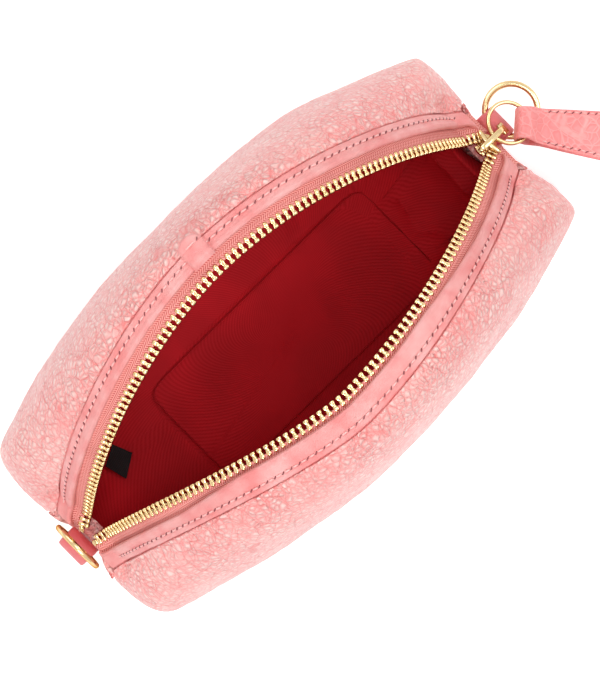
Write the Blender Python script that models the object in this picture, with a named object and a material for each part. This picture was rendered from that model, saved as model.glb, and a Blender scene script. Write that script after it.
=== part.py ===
"""Crossbody camera bag, standing on its base with the zip open and the mouth spread.

Metres, +Z up. The origin is the middle of the base. +X runs along the bag to the end where
the zip slider stands, +Y is the back half and -Y the front half.
"""

import math

import bmesh
import bpy
import numpy as np
from mathutils import Vector

MM = 0.001

# Body of the bag
BAG_HALF_LENGTH = 119.3 * MM
BACK_BULGE = 70.0 * MM
FRONT_BULGE = 65.6 * MM
# Drop of the outline's half width towards the ends, its power and the corner's squareness
BACK_DROP_SHARES = ((0.3, 2.4, 30), (0.385, 2.6, 110))
FRONT_DROP_SHARES = ((0.335, 1.7, 30), (0.3, 2.25, 110))
BULGE_HEIGHT = 50.0 * MM
END_BULGE_HEIGHT = 40.0 * MM
END_DENT = 4.8 * MM
END_DENT_REACH = 11.0 * MM
BASE_HALF_LENGTH = 58.0 * MM
BASE_HALF_WIDTH = 27.0 * MM
BASE_SQUARENESS = 8
LEATHER = 1.7 * MM
SEAM_GAP = 0.34 * MM
GUSSET_SEAM_SHARE = 1.75
BAND_SEAM_SHARE = 1.8

# End walls
GUSSET_BASE_HALF = 13.0 * MM
GUSSET_HALF = 19.0 * MM
GUSSET_TOP_HALF = 13.2 * MM
GUSSET_TOP_LEAN = 0.6 * MM

# Mouth and zip line
MOUTH_TOP = 143.0 * MM
ARCH_END_HEIGHT = 58.0 * MM
ARCH_INSET = 9.8 * MM
ARCH_HALF_LENGTH = BAG_HALF_LENGTH - ARCH_INSET
ARCH_ROUND_SHARE = 0.9
SHELF_REACH = 6.5 * MM
SHELF_TILT = math.radians(30)
BACK_OPENING = 37.3 * MM
FRONT_OPENING = 30.5 * MM
ZIP_END_HALF = 2.4 * MM
BACK_POWERS_LEFT = (1.8, 0.9)
BACK_POWERS_RIGHT = (1.9, 0.93)
FRONT_POWERS_LEFT = (1.45, 1.3)
FRONT_POWERS_RIGHT = (1.8, 0.93)
LEFT_GUSSET_TOP = ARCH_END_HEIGHT - 8.0 * MM
RIGHT_GUSSET_TOP = ARCH_END_HEIGHT - 10.7 * MM

# Leather band along the zip, measured outwards from the tooth line
BAND_NOSE = 6.2 * MM
BAND_SEAM = 14.0 * MM
BAND_THICKNESS = 1.6 * MM
BAND_CROWN = 0.5 * MM
# The front band rolls in over its tape along the middle of the mouth
FRONT_ROLL = 2.6 * MM
FRONT_ROLL_SHARES = (-0.68, -0.45, 0.4, 0.72)

# Zip tape, teeth and stops
TAPE_INNER = 2.75 * MM
TAPE_OUTER = 12.0 * MM
TAPE_THICKNESS = 0.6 * MM
CHAIN_DEPTH = 2.5 * MM
BEAD_INNER = 1.3 * MM
BEAD_OUTER = 2.4 * MM
TOOTH_TIP = 2.1 * MM
TOOTH_HEIGHT = 1.6 * MM
TOOTH_TIP_HEIGHT = 1.2 * MM
TOOTH_PITCH = 3.17 * MM
TOOTH_WIDTH_SHARE = 0.5
TEETH_RUN = 3.4 * MM
TEETH_END = ARCH_HALF_LENGTH + TEETH_RUN
STOP_LENGTH = 3.0 * MM
TAPE_TAIL = 2.6 * MM

# Slider, in its own frame: along the zip, across it and out of the tape
SLIDER_RUN = 4.4 * MM
SLIDER_START = ARCH_HALF_LENGTH + SLIDER_RUN
SLIDER_LENGTH = 9.6 * MM
SLIDER_HALF_WIDTH = 6.1 * MM
SLIDER_TAIL_HALF = 4.2 * MM
SLIDER_NOSE = 5.8 * MM
SLIDER_NOSE_HALF = 1.5 * MM
SLIDER_PLATE = 1.2 * MM
SLIDER_CHANNEL = 2.6 * MM
SLIDER_POST_HALF = 1.2 * MM
SLIDER_POST_LENGTH = 3.4 * MM
CROWN_WIDTH = 2.4 * MM
CROWN_THICKNESS = 1.6 * MM
CROWN_OPENING = 3.6 * MM

# Rings
RING_OUTER = 12.1 * MM
RING_WIRE = 1.3 * MM
PULL_RING_OUTER = 9.6 * MM
PULL_RING_WIRE = 0.85 * MM
PULL_RING_TILT = math.radians(20)
LEFT_RING_LEAN = math.radians(3)
RUNNING_GAP = 0.3 * MM
LOOP_EASE = 0.4 * MM

# Leather tabs that hold the rings
TAB_WIDTH = 14.0 * MM
TAB_LEATHER = 1.5 * MM
TAB_LEAF = 11.0 * MM
TAB_AXIS_HEIGHT = ARCH_END_HEIGHT - 18.0 * MM
TAB_SHIFTS = (0.6 * MM, 3.0 * MM)

# Leather pull of the zip
PULL_ROOT_WIDTH = 13.8 * MM
PULL_END_WIDTH = 26.5 * MM
PULL_LENGTH = 75.0 * MM
PULL_LEATHER = 1.2 * MM
PULL_TURN = math.radians(-50)

# Cover over the joint in the back band
COVER_WIDTH = 9.2 * MM
COVER_REACH = 3.6 * MM
COVER_LEATHER = 1.0 * MM

# Inside
BOARD_THICKNESS = 1.0 * MM
BOARD_MARGIN = 3.0 * MM
LINING = 0.6 * MM
LINING_TOP_DROP = 1.3 * MM
LINING_SEW_SHARE = 0.72
LINING_HIGH_SHARE = 0.94
END_LINING_SHARE = 0.84
END_LINING_HIGH_SHARE = 0.9
LABEL_WIDTH = 6.6 * MM
LABEL_HEIGHT = 12.0 * MM
LABEL_EDGE_SHARE = 0.95
LABEL_LOW_SHARE = 0.118
LABEL_THICKNESS = 0.5 * MM
LABEL_STAND = 1.2 * MM

# How the meshes are spread over the walls
LOWER_SHARE = 0.45
CORNER_SHARE = 0.1
FINE = 4
PANEL_CELLS = 26
PANEL_ROWS = 10
GUSSET_CELLS = 8
LINING_CELLS = 20
LINING_ROWS = 7
END_LINING_CELLS = 6
TAPE_CELLS = 40

BACK, FRONT = 1, -1
LEFT, RIGHT = -1, 1
LINING_INSET = LEATHER + BOARD_THICKNESS + 2 * RUNNING_GAP

LEATHER_PINK = (0.93, 0.42, 0.43)
BAND_PINK = (0.94, 0.47, 0.47)
PULL_CORAL = (0.84, 0.20, 0.24)
TAPE_SALMON = (0.86, 0.30, 0.30)
BRASS = (0.83, 0.65, 0.36)
CRIMSON = (0.27, 0.012, 0.025)
BOARD_GREY = (0.3, 0.28, 0.26)
LABEL_BLACK = (0.012, 0.011, 0.012)


# Points and curves


def resample(points, count):
    """Count points spread evenly along a polyline."""
    steps = np.linalg.norm(np.diff(points, axis=0), axis=1)
    travelled = np.concatenate([[0], np.cumsum(steps)])
    wanted = np.linspace(0, travelled[-1], count)
    return np.column_stack([np.interp(wanted, travelled, points[:, k]) for k in range(points.shape[1])])


def length_of(points):
    return np.linalg.norm(np.diff(points, axis=0), axis=1).sum()


def dent_at(y):
    return END_DENT * np.exp(-((y / END_DENT_REACH) ** 4))


def bulge_outline(side):
    """The widest outline of one half, from its left seam to its right seam."""
    xi = np.cos(np.linspace(math.pi, 0, 4001))
    bulge = BACK_BULGE if side == BACK else FRONT_BULGE
    shares = BACK_DROP_SHARES if side == BACK else FRONT_DROP_SHARES
    halves = []
    for drop, power, squareness in shares:
        corner = (1 - np.abs(xi) ** squareness) ** 0.25
        halves.append(bulge * (1 - drop * np.abs(xi) ** power) * corner)
    y = np.where(xi < 0, halves[0], halves[1])
    x = BAG_HALF_LENGTH * xi - np.sign(xi) * dent_at(y)
    kept = y >= GUSSET_HALF
    points = np.column_stack([x[kept], side * y[kept]])
    end_x = BAG_HALF_LENGTH - dent_at(GUSSET_HALF)
    ends = [np.array([[turn * end_x, side * GUSSET_HALF]]) for turn in (LEFT, RIGHT)]
    return np.vstack([ends[0], points, ends[1]])


def base_outline(side):
    """The base outline of one half, from its left seam to its right seam."""
    xi = np.cos(np.linspace(math.pi, 0, 4001))
    y = BASE_HALF_WIDTH * (1 - np.abs(xi) ** BASE_SQUARENESS) ** 0.25
    kept = y >= GUSSET_BASE_HALF
    points = np.column_stack([BASE_HALF_LENGTH * xi[kept], side * y[kept]])
    ends = [np.array([[turn * BASE_HALF_LENGTH, side * GUSSET_BASE_HALF]]) for turn in (LEFT, RIGHT)]
    return np.vstack([ends[0], points, ends[1]])


def bulge_height(x):
    share = np.clip(np.abs(x) / BAG_HALF_LENGTH, 0, 1)
    return BULGE_HEIGHT + (END_BULGE_HEIGHT - BULGE_HEIGHT) * share**2


def arch_height(xi):
    drop = 1 - np.sqrt(1 - (ARCH_ROUND_SHARE * xi) ** 2)
    full = 1 - math.sqrt(1 - ARCH_ROUND_SHARE**2)
    return MOUTH_TOP - (MOUTH_TOP - ARCH_END_HEIGHT) * drop / full


def mouth_half(side, xi):
    """How far the tooth line stands from the middle, at a share of the arch's half length."""
    opening = BACK_OPENING if side == BACK else FRONT_OPENING
    left = BACK_POWERS_LEFT if side == BACK else FRONT_POWERS_LEFT
    right = BACK_POWERS_RIGHT if side == BACK else FRONT_POWERS_RIGHT
    reach = 1 + SHELF_REACH / ARCH_HALF_LENGTH
    share = np.clip(np.abs(xi) / reach, 0, 1)
    left_shape = (1 - share ** left[0]) ** left[1]
    right_shape = (1 - share ** right[0]) ** right[1]
    return ZIP_END_HALF + (opening - ZIP_END_HALF) * np.where(xi < 0, left_shape, right_shape)


class ZipLine:
    """The tooth line of one half, with the directions out over the leather and out of the tape."""

    def __init__(self, side, left_reach=SHELF_REACH, right_reach=SHELF_REACH):
        self.side = side
        x = np.linspace(-ARCH_HALF_LENGTH - left_reach, ARCH_HALF_LENGTH + right_reach, 3001)
        xi = x / ARCH_HALF_LENGTH
        over = np.maximum(np.abs(x) - ARCH_HALF_LENGTH, 0)
        z = arch_height(np.clip(xi, -1, 1)) - over * math.tan(SHELF_TILT)
        points = np.column_stack([x, side * mouth_half(side, xi), z])
        self.length = length_of(points)
        self.points = resample(points, 1201)
        self.tangents = self.directions()
        self.outs = self.outward()
        self.ups = np.cross(self.tangents, self.outs) * side
        self.ups *= np.sign(self.ups[len(self.ups) // 2, 2])

    def directions(self):
        turned = np.gradient(self.points, axis=0)
        window = np.ones(31) / 31
        padded = np.pad(turned, ((15, 15), (0, 0)), mode="edge")
        smooth = np.column_stack([np.convolve(padded[:, k], window, mode="valid") for k in range(3)])
        return smooth / np.linalg.norm(smooth, axis=1)[:, None]

    def outward(self):
        flat = self.tangents[:, :2]
        across = np.column_stack([-flat[:, 1], flat[:, 0]]) * self.side
        across /= np.linalg.norm(across, axis=1)[:, None]
        straight = np.clip(np.abs(self.points[:, 0]) / ARCH_HALF_LENGTH, 0, 1) ** 5
        mixed = across * (1 - straight)[:, None] + np.array([0, self.side]) * straight[:, None]
        mixed /= np.linalg.norm(mixed, axis=1)[:, None]
        return np.column_stack([mixed, np.zeros(len(mixed))])

    def at(self, share, out, up):
        """The point at a share of the line's length, moved outwards and up."""
        place = np.clip(share, 0, 1) * (len(self.points) - 1)
        where = np.arange(len(self.points))
        found = []
        for table in (self.points, self.outs, self.ups):
            found.append(np.array([np.interp(place, where, table[:, k]) for k in range(3)]))
        return found[0] + out * found[1] + up * found[2]

    def share_of_x(self, x):
        return float(np.interp(x, self.points[:, 0], np.linspace(0, 1, len(self.points))))


def meridian(base, bulge, top, share):
    """A point up the wall: a quarter arc from base to bulge, then one from bulge to top."""
    if share <= LOWER_SHARE:
        turn = share / LOWER_SHARE * math.pi / 2
        flat = base[:2] + (bulge[:2] - base[:2]) * math.sin(turn)
        return np.array([flat[0], flat[1], bulge[2] * (1 - math.cos(turn))])
    turn = (share - LOWER_SHARE) / (1 - LOWER_SHARE) * math.pi / 2
    flat = top[:2] + (bulge[:2] - top[:2]) * math.cos(turn)
    return np.array([flat[0], flat[1], bulge[2] + (top[2] - bulge[2]) * math.sin(turn)])


def stations(line, cells, edge, fine=1):
    """Shares along a line: two cells at each end beyond its bend, three round the corner, and the rest even."""
    bend = line.share_of_x(-ARCH_HALF_LENGTH)
    far_bend = line.share_of_x(ARCH_HALF_LENGTH)
    count = np.linspace(0, cells, cells * fine + 1)
    knots = [0, 2, 5, cells - 5, cells - 2, cells]
    return np.interp(count, knots, [edge, bend, CORNER_SHARE, 1 - CORNER_SHARE, far_bend, 1 - edge])


def panel_grid(side, cells, rows, edge, low=0.0, high=1.0):
    """Rows of points over the front or back panel, from its base seam to its band seam."""
    line = ZipLine(side)
    base = resample(base_outline(side), 601)
    bulge = resample(bulge_outline(side), 601)
    across = stations(line, cells, edge, FINE)
    grid = []
    for share in np.linspace(low, high, rows * FINE + 1):
        row = []
        for a in across:
            low_point = np.array([np.interp(a * 600, np.arange(601), base[:, k]) for k in range(2)])
            mid = np.array([np.interp(a * 600, np.arange(601), bulge[:, k]) for k in range(2)])
            mid = np.append(mid, bulge_height(mid[0]))
            row.append(meridian(low_point, mid, line.at(a, BAND_SEAM, 0), share))
        grid.append(row)
    return np.array(grid)


def gusset_grid(end, columns, rows, first, last, low=0.0, high=1.0):
    """Rows of points over an end wall, from its base seam to its top edge."""
    grid = []
    top_height = LEFT_GUSSET_TOP if end == LEFT else RIGHT_GUSSET_TOP
    for share in np.linspace(low, high, rows):
        row = []
        for c in np.linspace(first, last, columns):
            y = c * GUSSET_HALF
            x = BAG_HALF_LENGTH - dent_at(y)
            base = np.array([end * BASE_HALF_LENGTH, c * GUSSET_BASE_HALF])
            bulge = np.array([end * x, y, END_BULGE_HEIGHT])
            top = np.array([end * (x - GUSSET_TOP_LEAN), c * GUSSET_TOP_HALF, top_height])
            row.append(meridian(base, bulge, top, share))
        grid.append(row)
    return np.array(grid)


# Closed bodies from grids and sections


def grid_normals(grid):
    along = np.gradient(grid, axis=1, edge_order=2)
    up = np.gradient(grid, axis=0, edge_order=2)
    normals = np.cross(along, up)
    return normals / np.maximum(np.linalg.norm(normals, axis=2, keepdims=True), 1e-12)


def slab(grid, outer, inner, flip=False, step=1):
    """A closed sheet between two offsets from a grid, along the grid's normals."""
    normals = grid_normals(grid)[::step, ::step] * (-1 if flip else 1)
    grid = grid[::step, ::step]
    rows, columns = grid.shape[:2]
    points = np.vstack([(grid + normals * outer).reshape(-1, 3), (grid + normals * inner).reshape(-1, 3)])
    faces = []
    shift = rows * columns
    for r in range(rows - 1):
        for c in range(columns - 1):
            a = r * columns + c
            quad = (a, a + 1, a + columns + 1, a + columns)
            faces.append(quad)
            faces.append(tuple(shift + k for k in reversed(quad)))
    edge = list(range(columns))
    edge += [r * columns + columns - 1 for r in range(1, rows)]
    edge += [(rows - 1) * columns + c for c in range(columns - 2, -1, -1)]
    edge += [r * columns for r in range(rows - 2, 0, -1)]
    for k, a in enumerate(edge):
        b = edge[(k + 1) % len(edge)]
        faces.append((b, a, shift + a, shift + b))
    return points, faces


def tube(sections, closed=False):
    """A closed body through sections that all have the same number of points."""
    count = len(sections[0])
    points = np.vstack(sections)
    faces = []
    laps = len(sections) if closed else len(sections) - 1
    for s in range(laps):
        here = s * count
        there = (s + 1) % len(sections) * count
        for k in range(count):
            n = (k + 1) % count
            faces.append((here + k, here + n, there + n, there + k))
    if not closed:
        faces.append(tuple(range(count - 1, -1, -1)))
        faces.append(tuple((len(sections) - 1) * count + k for k in range(count)))
    return points, faces


def ring(centre, radius, wire, plane_x, plane_y, steps, sides):
    """A round ring whose middle circle lies in the plane of two directions."""
    normal = np.cross(plane_x, plane_y)
    sections = []
    for s in range(steps):
        turn = 2 * math.pi * s / steps
        out = math.cos(turn) * plane_x + math.sin(turn) * plane_y
        section = []
        for k in range(sides):
            angle = 2 * math.pi * k / sides
            reach = radius + wire * math.cos(angle)
            section.append(centre + out * reach + normal * wire * math.sin(angle))
        sections.append(np.array(section))
    return tube(sections, closed=True)


def extruded(outline, low, high, frame):
    """A plate from a flat outline, between two heights in a frame of origin and three directions."""
    origin, along, across, up = frame
    bottom = [origin + along * p[0] + across * p[1] + up * low for p in outline]
    top = [origin + along * p[0] + across * p[1] + up * high for p in outline]
    return tube([np.array(bottom), np.array(top)])


# Objects


def finish_of(name, colour, roughness, metallic):
    found = bpy.data.materials.get(name)
    if found:
        return found
    material = bpy.data.materials.new(name)
    material.use_nodes = True
    shader = material.node_tree.nodes["Principled BSDF"]
    shader.inputs["Base Color"].default_value = (*colour, 1)
    shader.inputs["Roughness"].default_value = roughness
    shader.inputs["Metallic"].default_value = metallic
    material.diffuse_color = (*colour, 1)
    return material


def add_object(name, body, material, origin=(0, 0, 0), smooth=True):
    points, faces = body
    mesh = bpy.data.meshes.new(name)
    shifted = np.asarray(points) - np.asarray(origin)
    mesh.from_pydata([tuple(p) for p in shifted], [], [tuple(int(k) for k in f) for f in faces])
    bm = bmesh.new()
    bm.from_mesh(mesh)
    bmesh.ops.recalc_face_normals(bm, faces=bm.faces)
    bm.to_mesh(mesh)
    bm.free()
    if smooth:
        mesh.shade_smooth()
        mesh.set_sharp_from_angle(angle=math.radians(35))
    mesh.materials.append(material)
    obj = bpy.data.objects.new(name, mesh)
    obj.location = Vector([float(v) for v in origin])
    bpy.context.scene.collection.objects.link(obj)
    return obj


def hang(child, parent):
    """Parent one object to another without moving it."""
    bpy.context.view_layer.update()
    child.parent = parent
    child.matrix_parent_inverse = parent.matrix_world.inverted()


# Shell


def margin(length):
    return SEAM_GAP / 2 / length


def build_shell(leather):
    for side, name in ((BACK, "back_panel"), (FRONT, "front_panel")):
        edge = margin(length_of(base_outline(side)))
        rise = margin(BACK_BULGE)
        grid = panel_grid(side, PANEL_CELLS, PANEL_ROWS, edge, rise)
        add_object(name, slab(grid, 0, LEATHER, side == FRONT, FINE), leather)
    for end, name in ((LEFT, "left_gusset"), (RIGHT, "right_gusset")):
        reach = 1 - SEAM_GAP * GUSSET_SEAM_SHARE / GUSSET_HALF
        grid = gusset_grid(end, GUSSET_CELLS * FINE + 1, GUSSET_CELLS * FINE + 1, -reach, reach, margin(BACK_BULGE))
        add_object(name, slab(grid, 0, LEATHER, end == RIGHT, FINE), leather)
    frame = (np.zeros(3), np.array([1, 0, 0]), np.array([0, 1, 0]), np.array([0, 0, 1]))
    add_object("base_panel", extruded(base_shape(SEAM_GAP, 48), 0, LEATHER, frame), leather)


def base_shape(inward, count):
    half = np.vstack([base_outline(FRONT), base_outline(BACK)[::-1]])
    scale = np.array([1 - inward / BASE_HALF_LENGTH, 1 - inward / BASE_HALF_WIDTH])
    loop = np.vstack([half, half[:1]]) * scale
    return resample(loop, count + 1)[:-1]


def band_profile(inner):
    """The band's section, distance out and height, for the place of its folded edge."""
    outer = BAND_SEAM - SEAM_GAP * BAND_SEAM_SHARE
    return (
        (outer, 0),
        ((inner + outer) / 2, BAND_CROWN),
        (inner + BAND_THICKNESS / 2, BAND_CROWN / 2),
        (inner, -BAND_THICKNESS * 0.3),
        (inner + BAND_THICKNESS / 4, -BAND_THICKNESS * 0.8),
        (inner + BAND_THICKNESS / 2, -BAND_THICKNESS),
        (outer, -BAND_THICKNESS),
    )


def build_bands(smooth_leather):
    for side, name in ((BACK, "back_placket"), (FRONT, "front_placket")):
        line = ZipLine(side)
        sections = []
        for share in stations(line, PANEL_CELLS, SEAM_GAP / line.length, 2):
            nose = BAND_NOSE
            if side == FRONT:
                x_share = line.at(share, 0, 0)[0] / ARCH_HALF_LENGTH
                nose -= FRONT_ROLL * np.interp(x_share, FRONT_ROLL_SHARES, (0, 1, 1, 0))
            sections.append(np.array([line.at(share, out, up) for out, up in band_profile(nose)]))
        add_object(name, tube(sections), smooth_leather)


def build_cover(smooth_leather):
    line = ZipLine(BACK)
    half = COVER_WIDTH / 2 / line.length
    middle = line.share_of_x(0)
    reach = BAND_SEAM + COVER_REACH
    gap = RUNNING_GAP
    rows = (
        (BAND_NOSE - gap, -BAND_THICKNESS * 0.3, 1),
        (BAND_NOSE + gap, BAND_CROWN * 0.8 + gap, 1),
        ((BAND_NOSE + BAND_SEAM) / 2, BAND_CROWN + gap, 1),
        (BAND_SEAM, gap * 1.4, 1),
        (BAND_SEAM + COVER_REACH * 0.5, 0, 0.86),
        (BAND_SEAM + COVER_REACH * 0.85, -COVER_REACH * 0.18, 0.5),
        (reach, -COVER_REACH * 0.3, 0.12),
    )
    grid = []
    for out, up, share in rows:
        grid.append([line.at(middle + half * share * c, out, up + gap) for c in (-1, -0.5, 0, 0.5, 1)])
    add_object("joint_cover_tab", slab(np.array(grid), COVER_LEATHER, 0), smooth_leather)


# Zip


def build_tapes(cloth):
    for side, name in ((BACK, "back_zip_tape"), (FRONT, "front_zip_tape")):
        line = ZipLine(side, SHELF_REACH - RUNNING_GAP, SHELF_REACH + TAPE_TAIL)
        middle = -CHAIN_DEPTH
        sections = []
        for share in stations(line, TAPE_CELLS, 0):
            low, high = middle - TAPE_THICKNESS / 2, middle + TAPE_THICKNESS / 2
            corners = ((TAPE_INNER, low), (TAPE_OUTER, low), (TAPE_OUTER, high), (TAPE_INNER, high))
            sections.append(np.array([line.at(share, out, up) for out, up in corners]))
        add_object(name, tube(sections), cloth)


def build_teeth(metal):
    for side, name in ((BACK, "back_zip_teeth"), (FRONT, "front_zip_teeth")):
        line = ZipLine(side)
        start, end = line.share_of_x(-TEETH_END), line.share_of_x(TEETH_END)
        count = int((end - start) * line.length / TOOTH_PITCH)
        pitch = (end - start) / count
        add_object(name, comb(line, start, pitch, count), metal, smooth=False)


def comb(line, start, pitch, count):
    """Teeth standing on a bead: each tooth is a tapered bar that grows out of the bead's inner face."""
    points, faces = [], []
    half, tip_half = TOOTH_HEIGHT / 2, TOOTH_TIP_HEIGHT / 2
    corners = ((BEAD_INNER, -half), (BEAD_OUTER, -half), (BEAD_OUTER, half), (BEAD_INNER, half))
    for k in range(count):
        for share in (start + k * pitch, start + (k + TOOTH_WIDTH_SHARE) * pitch):
            points.extend(line.at(share, out, up - CHAIN_DEPTH) for out, up in corners)
    last = 2 * count - 1
    tips = len(points)
    for k in range(count):
        for share in (start + k * pitch, start + (k + TOOTH_WIDTH_SHARE) * pitch):
            points.extend(line.at(share, -TOOTH_TIP, up - CHAIN_DEPTH) for up in (-tip_half, tip_half))
    for s in range(last):
        a, b = 4 * s, 4 * (s + 1)
        faces.extend((a + k, a + k + 1, b + k + 1, b + k) for k in range(3))
        if s % 2:
            faces.append((a + 3, a, b, b + 3))
    for k in range(count):
        a, b = 8 * k, 8 * k + 4
        t = tips + 4 * k
        faces.append((t, t + 1, t + 3, t + 2))
        faces.append((a, b, t + 2, t))
        faces.append((b + 3, a + 3, t + 1, t + 3))
        faces.append((a + 3, a, t, t + 1))
        faces.append((b, b + 3, t + 3, t + 2))
    faces.append((0, 3, 2, 1))
    faces.append((4 * last, 4 * last + 1, 4 * last + 2, 4 * last + 3))
    return points, faces


def build_stops(metal):
    for side, name in ((BACK, "back_top_stop"), (FRONT, "front_top_stop")):
        line = ZipLine(side)
        end = line.share_of_x(-TEETH_END) - RUNNING_GAP / line.length
        half = TOOTH_HEIGHT / 2
        sections = []
        for share in (end - STOP_LENGTH / line.length, end - STOP_LENGTH / 2 / line.length, end):
            corners = ((-BEAD_INNER / 4, -half), (BEAD_OUTER, -half), (BEAD_OUTER, half), (-BEAD_INNER / 4, half))
            sections.append(np.array([line.at(share, out, up - CHAIN_DEPTH) for out, up in corners]))
        add_object(name, tube(sections), metal, smooth=False)


def slider_frame():
    """Origin at the slider's wide end in the middle of the zip, then along, across and out of it."""
    along = np.array([math.cos(SHELF_TILT), 0, -math.sin(SHELF_TILT)])
    out = np.array([math.sin(SHELF_TILT), 0, math.cos(SHELF_TILT)])
    line_height = ARCH_END_HEIGHT - (SLIDER_START - ARCH_HALF_LENGTH) * math.tan(SHELF_TILT)
    origin = np.array([SLIDER_START, 0, line_height]) - out * CHAIN_DEPTH
    return origin, along, np.array([0, 1, 0]), out


def half_outline(points):
    """A closed outline from points on its +Y half, mirrored over the middle."""
    return points + [(x, -y) for x, y in reversed(points)]


def build_slider(metal):
    frame = slider_frame()
    plate = half_outline(
        [
            (-SLIDER_NOSE, SLIDER_NOSE_HALF),
            (-SLIDER_NOSE * 0.3, SLIDER_NOSE_HALF * 1.3),
            (0, SLIDER_HALF_WIDTH * 0.8),
            (SLIDER_LENGTH * 0.12, SLIDER_HALF_WIDTH),
            (SLIDER_LENGTH * 0.45, SLIDER_HALF_WIDTH * 0.95),
            (SLIDER_LENGTH * 0.75, SLIDER_TAIL_HALF * 1.05),
            (SLIDER_LENGTH * 0.95, SLIDER_TAIL_HALF),
            (SLIDER_LENGTH, SLIDER_TAIL_HALF * 0.8),
        ]
    )
    lower = [p for p in plate if p[0] >= 0]
    post = half_outline(
        [
            (SLIDER_LENGTH * 0.03, SLIDER_POST_HALF * 0.4),
            (SLIDER_POST_LENGTH * 0.4, SLIDER_POST_HALF),
            (SLIDER_POST_LENGTH, SLIDER_POST_HALF * 0.4),
        ]
    )
    gap = SLIDER_CHANNEL / 2
    sink = SLIDER_PLATE / 2
    body = add_object("zip_slider_body", extruded(plate, gap, gap + SLIDER_PLATE, frame), metal, frame[0])
    bottom = add_object("slider_lower_plate", extruded(lower, -gap - SLIDER_PLATE, -gap, frame), metal, frame[0])
    core = add_object("slider_post", extruded(post, -gap - sink, gap + sink, frame), metal, frame[0])
    for piece in (bottom, core):
        piece.hide_render = True
        piece.display_type = "WIRE"
        join = body.modifiers.new(piece.name, "BOOLEAN")
        join.operation = "UNION"
        join.solver = "EXACT"
        join.object = piece
    bevel = body.modifiers.new("rounded_edges", "BEVEL")
    bevel.width = SLIDER_PLATE / 5
    bevel.segments = 1
    bevel.limit_method = "ANGLE"
    bevel.angle_limit = math.radians(60)
    return body


def crown_path():
    """Middle line of the crown, along and out of the slider's top plate."""
    foot = SLIDER_CHANNEL / 2 + SLIDER_PLATE + RUNNING_GAP
    top = foot + CROWN_OPENING + CROWN_THICKNESS / 2
    start = -SLIDER_NOSE + CROWN_THICKNESS
    end = SLIDER_LENGTH - CROWN_THICKNESS * 1.5
    bend = CROWN_THICKNESS
    return [
        (start, foot),
        (start - bend * 0.2, top - bend),
        (start + bend * 0.4, top - bend * 0.2),
        (start + bend * 1.5, top),
        (end - bend * 1.5, top),
        (end - bend * 0.3, top - bend * 0.4),
        (end, top - bend * 1.6),
        (end, foot),
    ]


def build_crown(metal):
    origin, along, across, out = slider_frame()
    path = np.array(crown_path())
    normals = offset_normals(path)
    sections = []
    for (a, b), n in zip(path, normals):
        section = []
        for side, depth in ((-1, -1), (1, -1), (1, 1), (-1, 1)):
            spot = np.array([a, b]) + n * depth * CROWN_THICKNESS / 2
            if b == path[0][1]:
                spot[1] = b
            section.append(origin + along * spot[0] + out * spot[1] + across * side * CROWN_WIDTH / 2)
        sections.append(np.array(section))
    return add_object("zip_slider_crown", tube(sections), metal, origin)


def offset_normals(path):
    steps = np.gradient(path, axis=0)
    steps /= np.linalg.norm(steps, axis=1)[:, None]
    return np.column_stack([-steps[:, 1], steps[:, 0]])


def build_bottom_stop(metal):
    origin, along, across, out = slider_frame()
    start = SLIDER_LENGTH + RUNNING_GAP
    gap = RUNNING_GAP + TAPE_THICKNESS / 2
    end = start + STOP_LENGTH
    outline = ((start, -TAPE_INNER), (end, -TAPE_INNER), (end, TAPE_INNER), (start, TAPE_INNER))
    half = TOOTH_HEIGHT / 2
    frame = (origin, along, across, out)
    return add_object("zip_bottom_stop", extruded(outline, gap - half, gap + half, frame), metal)


# Rings and what they swing in


def sagitta(radius, half_width):
    return radius - math.sqrt(radius**2 - half_width**2)


def loop_radius(ring_outer, wire, width):
    """Bore radius of a leather loop, so that the curved wire turns freely in it."""
    return sagitta(ring_outer - wire, width / 2) / 2 + wire + RUNNING_GAP + LOOP_EASE


def ring_reach(ring_outer, wire, width):
    """From the loop's axis to the ring's centre."""
    return ring_outer - wire - sagitta(ring_outer - wire, width / 2) / 2


def tab_axis(end):
    bulb = loop_radius(RING_OUTER, RING_WIRE, TAB_WIDTH) + TAB_LEATHER
    shift = TAB_SHIFTS[0] if end == LEFT else TAB_SHIFTS[1]
    face = BAG_HALF_LENGTH - dent_at(shift + TAB_WIDTH / 2)
    return np.array([end * (face + RUNNING_GAP + bulb), shift, TAB_AXIS_HEIGHT])


def looped_strip(bore, leather, length, lean_to_side, steps=9):
    """Middle line of a strip folded round a bore at the origin, its two leaves running along +s."""
    radius = bore + leather / 2
    half = leather / 2 + RUNNING_GAP / 2
    if lean_to_side:
        near = [(length, -radius), (length / 2, -radius)]
        start = math.pi / 2
        centre = -radius + 2 * half
    else:
        start = math.radians(60)
        reach = (radius * math.sin(start) - half) / math.cos(start)
        neck = radius * math.cos(start) + reach * math.sin(start)
        near = [(length, -half), (neck + leather, -half), (neck, -half)]
        centre = half
    finish = math.radians(60)
    reach = (radius * math.sin(finish) - centre) / math.cos(finish)
    neck = radius * math.cos(finish) + reach * math.sin(finish)
    turns = np.linspace(-start, -2 * math.pi + finish, steps + 4)
    arc = [(radius * math.cos(t), radius * math.sin(t)) for t in turns]
    far = [(neck, centre), (neck + leather, centre), (length, centre)]
    return np.array(near + arc + far)


def strip_body(path, leather, widths, place):
    """A flat strip along a path, whose half width is given at each point."""
    normals = offset_normals(path)
    sections = []
    for (s, t), n, half in zip(path, normals, widths):
        section = []
        for side, depth in ((-1, -1), (1, -1), (1, 1), (-1, 1)):
            spot = np.array([s, t]) + n * depth * leather / 2
            section.append(place(spot[0], spot[1], side * half))
        sections.append(np.array(section))
    return tube(sections)


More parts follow.
